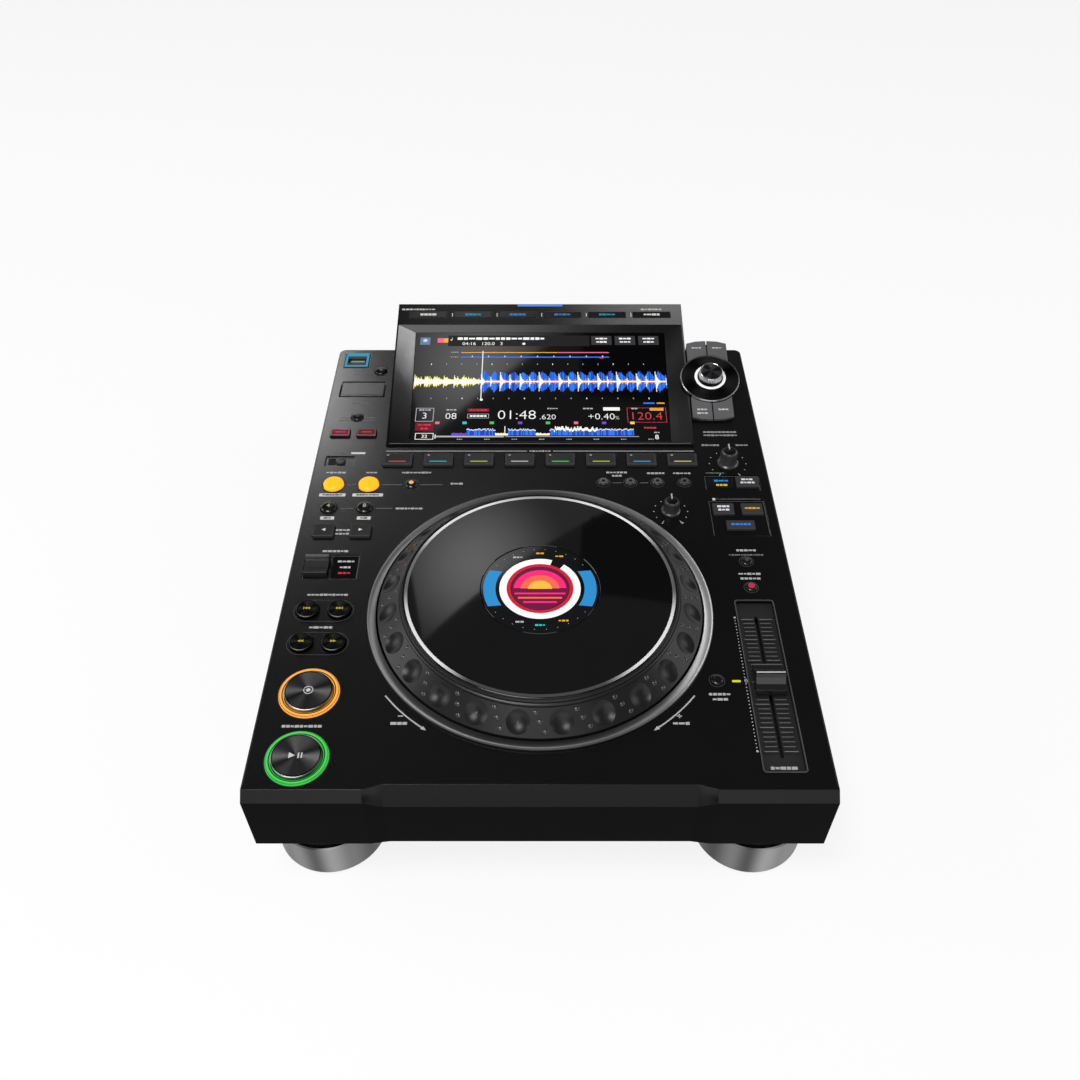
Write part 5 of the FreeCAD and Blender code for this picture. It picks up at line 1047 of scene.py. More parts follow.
class PLAYER_OT_keys(PlayerOperator):
    """Finishes the small keys and lays their marks"""

    bl_idname = "player.keys"
    bl_label = "Small keys"

    def make(self, scene):
        black = finish("key_black", (0.011, 0.011, 0.012), 0.3, specular=0.5, grain=0.02, edge=0.3)
        paint(["jump_back_key", "jump_forward_key", "half_loop_key", "double_loop_key", "sync_keys",
               "jog_mode_key", "call_key", "power_key", *ALL_HOT], black)
        self.hot_cues()
        self.loops(scene)
        self.round_domes()
        self.squares()

    def hot_cues(self):
        """Light bar along the front third and a small dot at the back of each key."""
        colours = ((0.55, 0.06, 0.12), (0.03, 0.42, 0.36), (0.4, 0.5, 0.05), (0.5, 0.5, 0.5), (0.1, 0.5, 0.1),
                   (0.4, 0.5, 0.05), (0.08, 0.3, 0.55), (0.55, 0.52, 0.25))
        for node, colour in zip(ALL_HOT, colours):
            sheet = on_top(node, node + "_mark")
            bar = lit(node + "_bar", colour, 0.8)
            face = finish("hot_face", (0.016, 0.016, 0.017), 0.24, specular=0.5)
            sheet.box(face, 0, 0.4, 18.0, 9.2, corner=0.6, high=0.04)
            sheet.box(bar, 0, -3.1, 12.6, 0.9, corner=0.3, high=0.09)
            sheet.box(printing(), -7.4, 3.9, 1.6, 1.0, high=0.09)
            sheet.lay("key_black")

    def loops(self, scene):
        """Lit domes, beat loop keys with numbers, and the black ball with its amber centre."""
        glow = lit("loop_glow", scene.player_finishes.loop_light, 0.95, base=0.5)
        for node in ("loop_in_key", "loop_out_key"):
            dome_key(node, 7.2, 2.4, glow)
        ball = finish("ball_black", (0.006, 0.006, 0.006), 0.1, specular=0.5, grain=0.0)
        dome_key("reloop_key", 4.6, 2.0, ball)
        sheet = on_top("reloop_key", "reloop_mark", rise=0.1)
        sheet.disc(lit("reloop_amber", (0.75, 0.45, 0.12), 0.9), 0, 0, 1.7)
        sheet.lay("gloss_black")
        rims = Sheet("key_rim", DECK, "case", low=-0.2, high=0.22)
        rim = finish("rim_grey", (0.035, 0.035, 0.035), 0.3)
        for node in ("loop_in_key", "loop_out_key", "reloop_key", "half_loop_key", "double_loop_key",
                     "time_key", "media_stop_key", "tempo_range_key", "tempo_lock_key", "tempo_reset_key"):
            spot = Spot(node)
            rims.ring(rim, spot.x, spot.y, spot.radius + 0.5, spot.radius + 1.1, steps=64)
        rims.lay("case_plastic")
        for node, text, colour in (("half_loop_key", "4", (0.4, 0.42, 0.2)),
                                   ("double_loop_key", "8", (0.4, 0.4, 0.4))):
            dome_key(node, Spot(node).radius, 1.6, ball)
            sheet = on_top(node, node + "_mark", rise=0.03)
            sheet.low = -0.9
            sheet.digits(lit(node + "_digit", colour, 0.8), text, 0, 0, 3.6)
            sheet.lay("key_black")

    def round_domes(self):
        """Small dark round keys, three with a painted highlight spot and one lit red, and the memory keys."""
        bright = finish("dome_bright", (0.36, 0.36, 0.37), 0.16, metallic=0.9, grain=0.0)
        dark = finish("dome_dark", (0.03, 0.03, 0.031), 0.1, metallic=0.8, grain=0.0)
        for node, radius, crown, slot in (("media_stop_key", 4.6, 1.4, "key_bright"),
                                          ("time_key", 4.2, 1.4, "key_bright"),
                                          ("tempo_range_key", 3.8, 1.3, "key_black"),
                                          ("tempo_lock_key", 3.8, 1.3, "lit_red"),
                                          ("tempo_reset_key", 3.8, 1.4, "key_black")):
            dome_key(node, radius, crown, dark)
            if node == "tempo_lock_key":
                sheet = on_top(node, "tempo_lock_mark")
                sheet.disc(lit("lock_red", (0.42, 0.03, 0.09), 0.8), 0, 0, 2.2)
                sheet.lay("lit_red")
        # A painted highlight: a bright spot on the top of three domes.
        for node in ("media_stop_key", "time_key", "tempo_range_key"):
            sheet = on_top(node, node + "_shine", rise=0.02)
            sheet.disc(bright, 0.2, 0.2, 1.5)
            sheet.lay("key_bright")
        paint("memory_keys", finish("memory_black", (0.02, 0.02, 0.02), 0.2, specular=0.5, edge=0.3))
        spot = Spot("memory_keys")
        tops = Sheet("memory_top", tilted(0, MEMORY_Y, spot.top), body_of("memory_keys"), low=-0.2, high=0.12)
        rings = Sheet("memory_ring", DECK, "case", low=-0.2, high=0.2)
        rim = finish("rim_grey", (0.035, 0.035, 0.035), 0.3)
        for index in range(4):
            x = MEMORY_X + MEMORY_PITCH * index
            tops.ring(bright, x, 0, 1.5, 2.9, steps=32)
            tops.disc(dark, x, 0, 1.5)
            rings.ring(rim, x, MEMORY_Y, 4.5, 5.1)
        tops.lay("key_bright")
        rings.lay("case_plastic")

    def squares(self):
        """Jump arrows, the two red keys, the mode key and the sync keys."""
        pale = lit("arrow_white", (0.6, 0.6, 0.6), 0.9)
        for node in ("jump_back_key", "jump_forward_key"):
            sheet = on_top(node, node + "_mark")
            face = finish("jump_face", (0.022, 0.022, 0.023), 0.3, specular=0.5)
            sheet.box(face, 0, 0, 12.2, 9.8, corner=0.5, high=0.03)
            sheet.shape(pale, triangle(0, 0.2, 2.4, left="back" in node), high=0.09)
            sheet.lay("key_black")
        red, dim = lit("mode_red", (0.22, 0.012, 0.04), 0.75), lit("mode_red_dim", (0.12, 0.008, 0.02), 0.75)
        for node, colour in (("slip_key", red), ("quantize_key", dim)):
            paint(node, finish("mode_key_side", (0.03, 0.004, 0.008), 0.3))
            sheet = on_top(node, node + "_mark")
            sheet.box(colour, 0, 0, 12.8, 6.0, corner=0.4)
            sheet.dashes(lit("mode_pink", (0.5, 0.12, 0.16), 0.8), 0, 0, 7.0, 1.1, 180)
            sheet.lay("lit_red")
        sheet = on_top("jog_mode_key", "jog_mode_mark")
        sheet.dashes(pale, 0, 1.8, 8.0, 1.7, 181)
        sheet.dashes(pale, 0, -1.6, 10.0, 1.7, 182)
        sheet.lay("key_black")
        window = Sheet("mode_window", RECESS, "case", low=-0.2, high=0.5)
        gloss = finish("window_gloss", (0.006, 0.006, 0.006), 0.06, specular=0.5, grain=0.0)
        window.box(gloss, 129.4, 32.4, 19.0, 11.6, corner=0.6)
        marks = Sheet("mode_lamp", RECESS, "case", low=0.3, high=0.56)
        marks.dashes(lit("lamp_blue", (0.02, 0.2, 0.6)), 130.0, 34.8, 10.0, 1.9, 183)
        marks.dashes(lit("lamp_yellow", (0.5, 0.42, 0.03)), 130.0, 30.2, 8.0, 1.9, 184)
        window.lay("gloss_black")
        marks.lay("gloss_black")
        spot = Spot("sync_keys")
        sync = Sheet("sync_mark", tilted(0, 0, spot.top), body_of("sync_keys"), low=-0.3)
        white, orange = lit("sync_white", (0.6, 0.6, 0.6)), lit("sync_orange", (0.55, 0.3, 0.04))
        sync.dashes(white, 127.9, 6.2, 8.4, 1.8, 185)
        sync.dashes(white, 127.9, 2.8, 7.6, 1.8, 186)
        sync.dashes(orange, 147.9, 4.4, 10.4, 1.8, 187)
        sync.dashes(lit("sync_blue", (0.03, 0.16, 0.6)), 137.9, -11.8, 13.4, 1.8, 188)
        sync.lay("key_black")


# Knobs, slider and the pieces at the sides


class PLAYER_OT_knobs(PlayerOperator):
    """Dresses the two tall knobs, the selector and its keys"""

    bl_idname = "player.knobs"
    bl_label = "Knobs and selector"

    def make(self, scene):
        black = finish("knob_black", (0.006, 0.006, 0.006), 0.2, specular=0.45, edge=0.2)
        paint(["speed_knob", "jog_adjust_knob"], black)
        pointer = finish("pointer_pale", (0.5, 0.5, 0.5), 0.4)
        silver = finish("knob_silver", (0.05, 0.05, 0.051), 0.25, metallic=1.0)
        for node, y, radius, rise in (("speed_knob", SPEED_Y, 7.6, 12.0),
                                      ("jog_adjust_knob", ADJUST_Y, 6.6, 10.5)):
            centre = tilted(Spot(node).x, y, DECK_TOP)
            sheet = Sheet(node + "_pointer", centre, body_of(node), low=0.0, high=rise + 0.62)
            sheet.box(pointer, 0, 0.58 * radius, 0.8, 0.78 * radius)
            sheet.lay("knob_black")
            mesh = bmesh.new()
            for rib in range(18):
                angle = 2 * math.pi * (rib + 0.5) / 18
                turn = centre @ Matrix.Rotation(angle, 4, "Z")
                prism(mesh, turn, box_points(0.755 * radius, 0, 1.1, 0.75), 2.2, rise - 1.4)
            bring_in(node + "_ribs", mesh, black, body_of(node))
            wide = 0.56 * radius
            cap = lathe(node + "_cap", [(0.0, rise - 0.5), (wide, rise - 0.5), (wide, rise + 0.12),
                                        (0.5 * radius, rise + 0.2), (0.0, rise + 0.2)],
                        silver, body_of(node), centre, steps=64)
        self.selector(scene.player_sizes.knurls)

    def selector(self, knurls):
        """Turned disc with a bright rim, knurled knob in a pale collar, four grey keys."""
        gloss = finish("selector_gloss", (0.008, 0.008, 0.008), 0.1, specular=0.5, grain=0.0)
        paint("selector_base", gloss)
        paint("selector_keys", finish("selector_key_grey", (0.16, 0.16, 0.165), 0.35, metallic=0.4, edge=0.3))
        # The disc's sheen is painted into its colour, by angle round the selector's centre.
        disc = lathe("selector_disc", [(13.4, 2.0), (13.4, 2.32), (21.6, 2.32), (22.0, 2.2), (22.0, 2.0)],
                     spun("disc_spun", (0.1, 0.1, 0.102), (SELECTOR_X, SELECTOR_Y), CAP_PAINTED_SHEEN, 0.22), "case",
                     SELECTOR, steps=128, closed=True)
        bright = finish("trim_bright", (0.6, 0.6, 0.61), 0.18, metallic=1.0, grain=0.0)
        rim = lathe("selector_rim", [(21.9, 1.9), (21.9, 2.36), (22.5, 2.36), (22.85, 2.0), (22.85, 1.0),
                                     (22.4, 1.0)], bright, "case", SELECTOR, steps=128, closed=True)
        # The collar is white and also given a painted glow, though it holds no lamp.
        white = finish("collar_white_painted_glow", (0.85, 0.85, 0.85), 0.3, glow=(0.4, 0.4, 0.4), glow_strength=0.4)
        collar = lathe("selector_collar", [(9.75, 2.1), (9.75, 3.1), (10.2, 3.45), (11.8, 3.35), (12.6, 2.9),
                                           (12.6, 2.1)], white, "case", SELECTOR, steps=128, closed=True)
        chrome = finish("selector_chrome", (0.5, 0.5, 0.51), 0.14, metallic=1.0, grain=0.0)

        def section(index):
            """Half section of the knurled knob; the third of every four steps is the bottom of a notch."""
            notch = (1.0, 0.96, 0.9, 0.96)[index % 4]
            return [(0.0, -6.0), (3.0, -6.0), (3.0, 2.6), (8.6, 2.6), (9.1 * notch, 3.3), (9.1 * notch, 4.6),
                    (8.9 * notch, 8.8), (8.75, 9.7), (8.4, 10.1), (7.9, 10.2), (7.6, 10.0), (0.0, 9.85)]

        knob = lathe("selector_knurled", section, chrome, body_of("selector_knob"), SELECTOR,
                     steps=knurls * 4)
        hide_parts("selector_knob")
        # The cap's sheen is painted into its colour, by angle round the knob's centre.
        turned = spun("selector_spun", (0.22, 0.22, 0.222), (131.9, 136.2), CAP_PAINTED_SHEEN, 0.25)
        cap = lathe("selector_cap", [(0.0, 9.7), (7.6, 9.7), (7.6, 10.1), (7.3, 10.22), (0.0, 10.26)], turned,
                    body_of("selector_knob"), SELECTOR)
        mark = Sheet("selector_dot", SELECTOR, body_of("selector_knob"), low=9.9, high=10.32)
        mark.box(bright, 0, 5.6, 0.9, 2.2)
        mark.lay("knob_black")
        pale = printing("selector_print", (0.5, 0.5, 0.5))
        words = Sheet("selector_mark", SELECTOR, body_of("selector_keys"), low=0.4, high=0.66)
        for side in (-1, 1):
            words.dashes(pale, side * 8.1, 31.8, 7.4, 1.3, 190 + side)
            words.dashes(pale, side * 8.1, -29.6, 7.4, 1.6, 192 + side)
        words.dashes(pale, -8.1, -33.2, 8.0, 1.6, 195)
        words.lay("key_grey")


class PLAYER_OT_slider(PlayerOperator):
    """Dresses the tempo slider: ridged floor, cap with its line, lamp beside the scale"""

    bl_idname = "player.slider"
    bl_label = "Tempo slider"

    def make(self, scene):
        floor = finish("track_black", (0.014, 0.014, 0.014), 0.45, specular=0.4, grain=0.05)
        paint("fader_track", floor)
        ridge = finish("ridge_dark", (0.014, 0.014, 0.0142), 0.32, specular=0.5)
        # A painted highlight: a pale line along the crest of each ridge.
        crest_highlight = finish("ridge_crest", (0.17, 0.17, 0.172), 0.3, specular=0.5)
        sheet = Sheet("track_ridge", TRACK, "case", low=-0.2, high=0.55)
        pitch = scene.player_sizes.ridge / MM
        for side in (-1, 1):
            for index in range(-15, 16):
                wide, deep = (7.4, 0.34) if index % 5 else (8.4, 0.5)
                x, y = side * (1.6 + wide / 2), index * pitch
                sheet.box(ridge, x, y, wide, 1.7, slope=0.3)
                sheet.box(crest_highlight, x, y + 0.62, wide - 0.5, deep, high=0.62)
        sheet.lay("key_black")
        shade = finish("slot_dark", (0.003, 0.003, 0.003), 0.6)
        slot = Sheet("track_slot", TRACK, "case", low=-0.1, high=0.04)
        for side in (-1, 1):
            slot.box(shade, side * 1.25, 0, 0.5, 106)
        slot.lay("key_black")
        # Painted highlights: two grey outlines along the rim of the slider's recess.
        border = Sheet("track_rim_highlight", DECK, "case", low=-0.2, high=0.08)
        for grow, tone in ((1.9, 0.1), (0.9, 0.03)):
            edge = finish(f"track_edge_{int(tone * 100)}", (tone, tone, tone), 0.3, specular=0.5)
            border.frame(edge, SLIDE_X, FADER_Y + 0.5, 23.2 + grow, 127.2 + grow, 0.4, corner=2.0)
        border.lay("case_plastic")
        paint("fader_cap", finish("cap_black", (0.009, 0.009, 0.009), 0.17, specular=0.6, edge=0.3))
        spot = Spot("fader_cap")
        top = tilted(SLIDE_X, FADER_Y, spot.top)
        mark = Sheet("cap_line", top, body_of("fader_cap"), low=-0.3, high=0.05)
        mark.box(finish("cap_white", (0.5, 0.5, 0.5), 0.4), 0, 0, 17.2, 0.9)
        mark.lay("key_grey")
        lamp = Sheet("tempo_lamp", DECK, "case", low=-0.2, high=0.15)
        lamp.box(lit("lamp_lime", (0.55, 0.6, 0.02)), 117.4, FADER_Y - 0.4, 5.2, 1.5, corner=0.4)
        lamp.lay("light_plastic")
        words = Sheet("slider_print", TRACK, "case", low=-0.1, high=0.05)
        words.dashes(printing(), 0, -59.6, 15.0, 2.0, 200)
        words.lay("key_black")


class PLAYER_OT_sides(PlayerOperator):
    """Dresses the direction lever, the memory socket, the card lid and the call key"""

    bl_idname = "player.sides"
    bl_label = "Lever, socket and lid"

    def make(self, scene):
        paint("direction_lever", finish("lever_black", (0.02, 0.02, 0.02), 0.28, specular=0.5, edge=0.4))
        paint("card_lid", finish("lid_satin", (0.005, 0.005, 0.005), 0.26, specular=0.22, edge=0.3))
        window = Sheet("direction_window", RECESS, "case", low=-0.2, high=0.5)
        gloss = finish("window_gloss", (0.006, 0.006, 0.006), 0.06, specular=0.5, grain=0.0)
        window.box(gloss, -129.3, -51.2, 16.2, 19.6, corner=0.6)
        window.lay("gloss_black")
        marks = Sheet("direction_lamp", RECESS, "case", low=0.3, high=0.56)
        white, red = lit("direction_white", (0.4, 0.4, 0.4)), lit("direction_red", (0.5, 0.02, 0.06))
        for y, colour, wide in ((-46.0, white, 11), (-51.4, white, 7), (-56.6, red, 8)):
            marks.dashes(colour, -128.8, y, wide, 1.6, 210 + int(-y))
        marks.lay("gloss_black")
        pivot = tilted(-147.6, -51.2, 84.0)
        ridge = Sheet("lever_ridge", pivot, body_of("direction_lever"), low=10.0, high=13.95)
        ridge.box(finish("lever_grey", (0.1, 0.1, 0.102), 0.3), 0, 6.3, 15.3, 2.0)
        ridge.lay("key_black")
        self.socket(scene.player_finishes.socket_light)
        lid = Sheet("lid_edge", DECK, "case", low=-0.3, high=0.05)
        groove = finish("lid_groove", (0.001, 0.001, 0.001), 0.7, specular=0.05)
        lid.box(groove, -139.8, 133.25, 35.8, 0.9)
        for side in (-1, 1):
            lid.box(groove, -139.8 + side * 17.45, 141.0, 0.9, 15.0)
        lid.lay("case_plastic")
        face = on_top("card_lid", "lid_face", rise=0.0)
        face.box(finish("lid_lip", (0.16, 0.16, 0.165), 0.3), 0, -7.7, 31.6, 0.7)
        call = Sheet("call_slot", RECESS, "case", low=-0.2, high=0.06)
        call.box(finish("call_dark", (0.004, 0.004, 0.004), 0.5), -152.2, 56.0, 5.6, 7.0, corner=0.5)
        call.lay("case_plastic")
        face.lay("case_plastic")
        # A painted highlight: a bright crescent on the top of the call key.
        bright = finish("dome_bright", (0.36, 0.36, 0.37), 0.16, metallic=0.9, grain=0.0)
        top = on_top("call_key", "call_painted_arc_highlight")
        top.ring(bright, 0, 0, 1.2, 1.7, 20, 160, steps=10)
        top.lay("key_bright")

    def socket(self, light):
        """The lit frame of the memory socket, its mouth and its contact tongue."""
        paint("sockets", finish("socket_black", (0.012, 0.012, 0.012), 0.4, grain=0.05))
        glow = lit("socket_glow", light, 0.95, base=0.4)
        top = Sheet("socket_frame", tilted(SOCKET_X, 181.6, DECK_TOP + 0.8), "case", low=-0.5, high=0.1)
        for x, y, wide, deep in ((0, 7.0, 18.8, 4.2), (0, -8.2, 18.8, 1.7), (-8.5, 0, 1.8, 14.6),
                                 (8.5, 0, 1.8, 14.6)):
            top.box(glow, x, y, wide, deep)
        smoke = finish("socket_smoke", (0.05, 0.055, 0.06), 0.25)
        for y in (3.3, -5.7):
            top.box(smoke, 0, y, 15.0, 2.9, high=0.02)
        top.lay("light_plastic")
        tongue = Sheet("socket_tongue", tilted(SOCKET_X, 180.6, 81.6), "case", low=0.0, high=10.6)
        tongue.box(finish("tongue_white", (0.4, 0.4, 0.4), 0.5), 0, 1.9, 11.2, 1.4)
        tongue.lay("socket_plastic")


class PLAYER_OT_rear(PlayerOperator):
    """Dresses the rear panel: contacts, socket trims, screws and marks"""

    bl_idname = "player.rear"
    bl_label = "Rear panel"

    def make(self, scene):
        steel = finish("socket_steel", (0.5, 0.5, 0.51), 0.28, metallic=1.0)
        gold = finish("contact_gold", (0.75, 0.5, 0.18), 0.25, metallic=1.0)
        pale = printing("rear_print", (0.4, 0.4, 0.4))
        panel = Sheet("rear_mark", REAR, "case", low=-2.2, high=-1.92)
        # The rear plane's X runs towards the player's left
        for x, wide, seed in ((120.0, 18, 220), (82.0, 12, 221), (20.0, 11, 222), (-10.0, 9, 223),
                              (-60.0, 8, 224), (-82.0, 8, 225), (-104.0, 8, 226)):
            panel.dashes(pale, x, 14.2, wide, 1.7, seed)
        panel.frame(pale, -82.0, 0.0, 66.0, 20.5, 0.4)
        panel.lay("pan_steel")
        heads = Sheet("rear_screw", REAR, "case", low=-2.3, high=-1.0)
        slots = Sheet("rear_screw_slot", REAR, "case", low=-1.4, high=-0.95)
        dark = finish("slot_dark", (0.003, 0.003, 0.003), 0.6)
        for x in (-144.0, -34.0, 40.0, 144.0):
            for y in (-11.0, 17.0):
                heads.disc(steel, x, y, 2.4, slope=0.4)
                for wide, deep in ((0.6, 2.6), (2.6, 0.6)):
                    slots.box(dark, x, y, wide, deep)
        heads.lay("screw_steel")
        slots.lay("screw_steel")
        pins = Sheet("inlet_pin", REAR, "case", low=-13.6, high=-3.0)
        for side in (-1, 1):
            pins.box(steel, 120.0 + side * 5.6, -1.2, 2.2, 4.6)
        pins.lay("socket_plastic")
        barrel = Sheet("phono_ring", REAR, "case", low=-2.4, high=-0.2)
        for index, colour in enumerate(((0.7, 0.7, 0.7), (0.5, 0.03, 0.03), (0.6, 0.28, 0.02))):
            x = -(PHONO_X + PHONO_PITCH * index)
            barrel.ring(finish(f"phono_colour_{index}", colour, 0.4), x, 0, 4.5, 6.4)
        barrel.lay("socket_plastic")
        tips = Sheet("phono_tip", REAR, "case", low=6.0, high=10.06)
        for index in range(3):
            tips.ring(gold, -(PHONO_X + PHONO_PITCH * index), 0, 1.75, 4.05, steps=40)
        tips.lay("socket_plastic")
        spot = Spot("power_key")
        face = facing_back(POWER_X, spot.y + spot.deep / 2, REAR_MIDDLE)
        key = Sheet("power_mark", face, body_of("power_key"), low=-0.3, high=0.04)
        key.box(pale, 0, 0.6, 0.5, 2.4)
        key.ring(pale, 0, 0, 1.6, 2.1, 120, 420, steps=20)
        key.lay("key_black")


# The stage


def direction(azimuth, height):
    """A direction by its angle from the rear, to the right, and its angle above the table."""
    a, e = math.radians(azimuth), math.radians(height)
    return Vector((math.sin(a) * math.cos(e), math.cos(a) * math.cos(e), math.sin(e)))


def card_point(azimuth, height):
    """The point of the cards' common ball in a direction."""
    return CARD_CENTRE + CARD_DISTANCE * direction(azimuth, height)


class PLAYER_OT_stage(PlayerOperator):
    """Sets the camera, lamps, floor and surroundings"""

    bl_idname = "player.stage"
    bl_label = "Stage"

    def make(self, scene):
        stage = scene.player_stage
        camera = bpy.data.cameras.new("camera")
        camera.lens = stage.lens
        camera.sensor_width = SENSOR
        camera.shift_y = SHIFT
        holder = bpy.data.objects.new("camera", camera)
        holder.location = CAMERA_PLACE
        holder.rotation_euler = (math.pi / 2 - stage.pitch, 0, 0)
        scene.collection.objects.link(holder)
        scene.camera = holder
        scene.view_settings.view_transform = "Standard"
        self.floor(scene)
        self.surroundings(scene)
        self.cards(stage.card)
        for name, spot, aim, size, power in (
                ("lamp_top", (-0.5, -0.7, 2.1), (0, 0, 0), 0.9, stage.top_power),
                ("lamp_front", (0, -2.2, 1.5), (0, 0, 0.05), 2.2, 20.0),
                ("lamp_right", (1.9, 0.3, 1.1), (0, 0, 0.05), 1.0, 7.0),
                ("lamp_left", (-1.9, 0.2, 1.0), (0, 0, 0.05), 1.0, 10.0)):
            lamp = bpy.data.lights.new(name, "AREA")
            lamp.size, lamp.energy = size, power
            made = bpy.data.objects.new(name, lamp)
            made.location = spot
            made.rotation_euler = (Vector(spot) - Vector(aim)).to_track_quat("Z", "Y").to_euler()
            scene.collection.objects.link(made)

    def floor(self, scene):
        mesh = bmesh.new()
        bmesh.ops.create_grid(mesh, x_segments=8, y_segments=8, size=12)
        data = bpy.data.meshes.new("floor")
        mesh.to_mesh(data)
        mesh.free()
        made = bpy.data.objects.new("floor", data)
        scene.collection.objects.link(made)
        material = bpy.data.materials.new("floor_white")
        material.use_nodes = True
        tree = material.node_tree
        shader = tree.nodes["Principled BSDF"]
        shader.inputs["Base Color"].default_value = (0.9, 0.9, 0.9, 1)
        shader.inputs["Roughness"].default_value = 0.8
        shader.inputs["Specular IOR Level"].default_value = 0.1
        self.show_white(tree, shader, tree.nodes["Material Output"], FLOOR_WHITE)
        data.materials.append(material)

    def show_white(self, tree, base, output, share):
        """Lifts what the camera, gloss and glass see towards plain white, and keeps part of the shadow."""
        path = add(tree, "ShaderNodeLightPath")
        first = add(tree, "ShaderNodeMath", operation="MAXIMUM")
        second = add(tree, "ShaderNodeMath", operation="MAXIMUM")
        amount = add(tree, "ShaderNodeMath", operation="MULTIPLY")
        white = add(tree, "ShaderNodeEmission", Color=(1, 1, 1, 1), Strength=1.0)
        mix = add(tree, "ShaderNodeMixShader")
        join(tree, path, "Is Camera Ray", first, 0)
        join(tree, path, "Is Glossy Ray", first, 1)
        join(tree, first, "Value", second, 0)
        join(tree, path, "Is Transmission Ray", second, 1)
        join(tree, second, "Value", amount, 0)
        amount.inputs[1].default_value = share
        join(tree, amount, "Value", mix, 0)
        tree.links.new(base.outputs[0], mix.inputs[1])
        join(tree, white, "Emission", mix, 2)
        join(tree, mix, "Shader", output, "Surface")

    def surroundings(self, scene):
        """White near the horizon, as a cove behind the table, and dim above it."""
        world = bpy.data.worlds.new("studio")
        scene.world = world
        world.use_nodes = True
        tree = world.node_tree
        where = add(tree, "ShaderNodeTexCoord")
        split = add(tree, "ShaderNodeSeparateXYZ")
        ramp = add(tree, "ShaderNodeValToRGB")
        join(tree, where, "Generated", split, "Vector")
        join(tree, split, "Z", ramp, "Fac")
        first, last = ramp.color_ramp.elements
        first.position, first.color = 0.24, (1, 1, 1, 1)
        last.position, last.color = 0.42, (0.1, 0.1, 0.1, 1)
        join(tree, ramp, "Color", tree.nodes["Background"], "Color")
        tree.nodes["Background"].inputs["Strength"].default_value = 1.0

    def patch(self, name, top, low, start, end, shown_by=()):
        """A curved card between two angles, that only gloss shows; top gives its upper edge."""
        mesh = bmesh.new()
        steps, rows = 12, []
        for i in range(steps + 1):
            azimuth = start + (end - start) * i / steps
            heights = [low + (top(azimuth) - low) * j / steps for j in range(steps + 1)]
            rows.append([mesh.verts.new(card_point(azimuth, height)) for height in heights])
        for first, second in zip(rows, rows[1:]):
            for j in range(steps):
                mesh.faces.new((first[j], first[j + 1], second[j + 1], second[j]))
        data = bpy.data.meshes.new(name)
        mesh.to_mesh(data)
        mesh.free()
        made = bpy.data.objects.new(name, data)
        made.visible_camera = False
        made.visible_diffuse = False
        made.visible_shadow = False
        bpy.context.scene.collection.objects.link(made)
        if shown_by:
            group = bpy.data.collections.new(name)
            for node in shown_by:
                group.objects.link(frame["nodes"][node])
            made.light_linking.receiver_collection = group
        material = bpy.data.materials.new(name)
        material.use_nodes = True
        tree = material.node_tree
        tree.nodes.remove(tree.nodes["Principled BSDF"])
        glow = add(tree, "ShaderNodeEmission", Color=(1, 1, 1, 1))
        join(tree, glow, "Emission", tree.nodes["Material Output"], "Surface")
        data.materials.append(material)
        return tree, glow, add(tree, "ShaderNodeTexCoord")

    def fade_up(self, card, start, end, low, high):
        """Changes a card's strength between two heights in metres."""
        tree, glow, where = card
        split = add(tree, "ShaderNodeSeparateXYZ")
        fade = add(tree, "ShaderNodeMapRange", From_Min=start, From_Max=end, To_Min=low, To_Max=high)
        join(tree, where, "Object", split, "Vector")
        join(tree, split, "Z", fade, "Value")
        join(tree, fade, "Result", glow, "Strength")

    def cards(self, brightness):
        """A pale card that plate and screen show, and brighter ones for the left bezel and the left side."""
        tree, glow, where = self.patch("card_pale", lambda azimuth: 46.0 - 0.44 * azimuth, 24.0, -12.9, 14.0)
        away = add(tree, "ShaderNodeVectorMath", operation="DISTANCE")
        away.inputs[1].default_value = card_point(-6.5, 47.0)
        fade = add(tree, "ShaderNodeMapRange", interpolation_type="SMOOTHSTEP", From_Min=0.0, From_Max=0.36,
                   To_Min=brightness, To_Max=0.14 * brightness)
        join(tree, where, "Object", away, 0)
        join(tree, away, "Value", fade, "Value")
        join(tree, fade, "Result", glow, "Strength")
        bezel = self.patch("card_bezel", lambda azimuth: 49.0, 40.0, 4.0, 20.0, ["display_housing"])
        self.fade_up(bezel, 2.2, 2.42, 6.0 * brightness, 0.3 * brightness)
        bright = self.patch("card_bright", lambda azimuth: 56.0, 22.0, -44.0, -15.6,
                            ["top_case", "slip_key", "quantize_key", "card_lid", "call_key"])
        self.fade_up(bright, 1.8, 1.98, 7.0 * brightness, 0.048 * brightness)


STEPS = (PLAYER_OT_case, PLAYER_OT_printing, PLAYER_OT_display, PLAYER_OT_wheel, PLAYER_OT_transport,
         PLAYER_OT_keys, PLAYER_OT_knobs, PLAYER_OT_slider, PLAYER_OT_sides, PLAYER_OT_rear, PLAYER_OT_stage)


class PLAYER_PT_panel(bpy.types.Panel):
    """Lists the steps that dress the player"""

    bl_label = "Player"
    bl_idname = "PLAYER_PT_panel"
    bl_space_type = "VIEW_3D"
    bl_region_type = "UI"
    bl_category = "Player"

    def draw(self, context):
        for group in (context.scene.player_finishes, context.scene.player_sizes, context.scene.player_stage):
            column = self.layout.column()
            for name in group.__annotations__:
                column.prop(group, name)
        for step in STEPS:
            self.layout.operator(step.bl_idname)


CLASSES = (PlayerFinishes, PlayerSizes, PlayerStage, *STEPS, PLAYER_PT_panel)


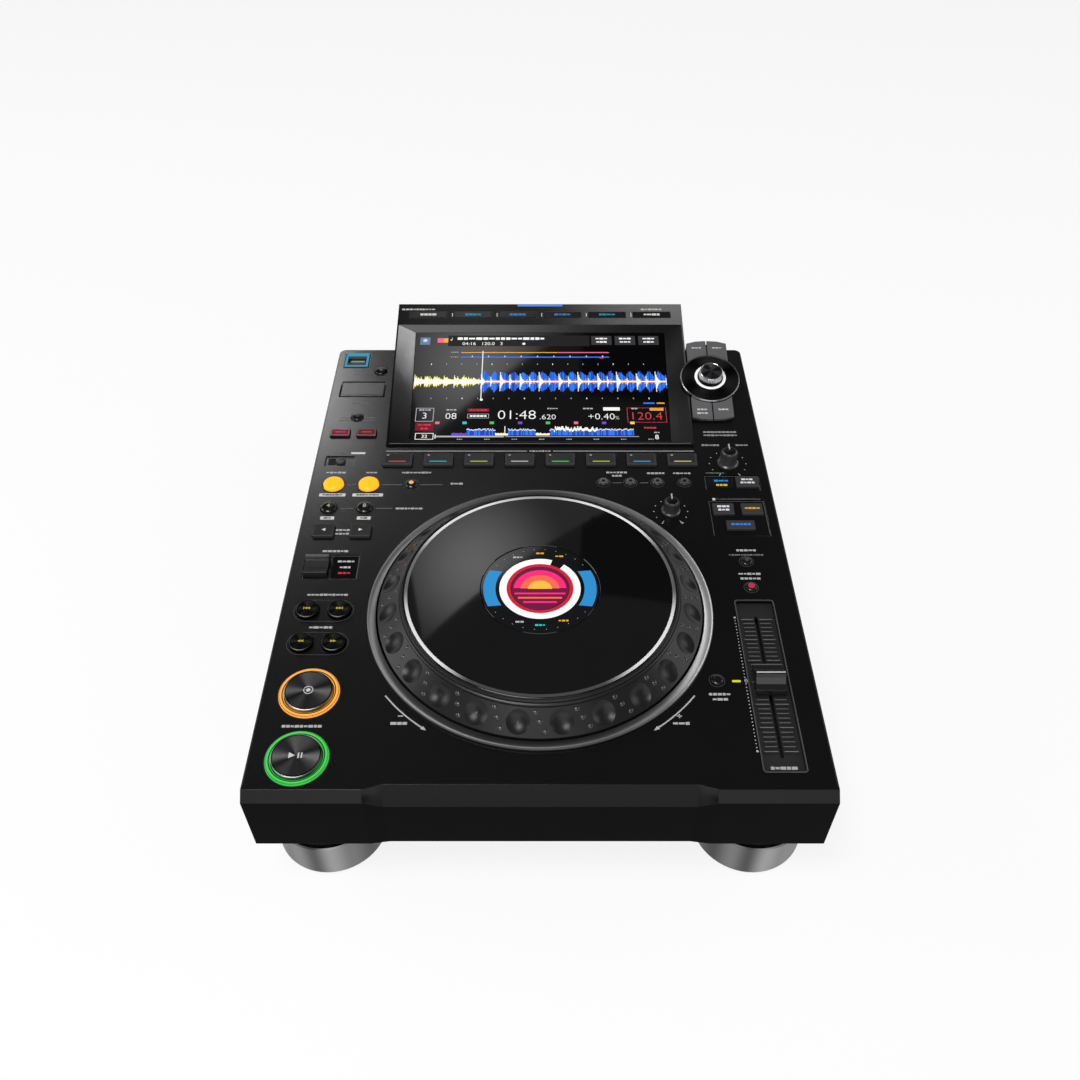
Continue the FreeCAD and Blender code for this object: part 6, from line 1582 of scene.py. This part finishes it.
def register():
    for made in CLASSES:
        bpy.utils.register_class(made)
    bpy.types.Scene.player_finishes = bpy.props.PointerProperty(type=PlayerFinishes)
    bpy.types.Scene.player_sizes = bpy.props.PointerProperty(type=PlayerSizes)
    bpy.types.Scene.player_stage = bpy.props.PointerProperty(type=PlayerStage)


def unregister():
    del bpy.types.Scene.player_stage
    del bpy.types.Scene.player_sizes
    del bpy.types.Scene.player_finishes
    for made in reversed(CLASSES):
        bpy.utils.unregister_class(made)


def main():
    register()
    for step in STEPS:
        group, name = step.bl_idname.split(".")
        getattr(getattr(bpy.ops, group), name)()


if __name__ == "__main__":
    main()
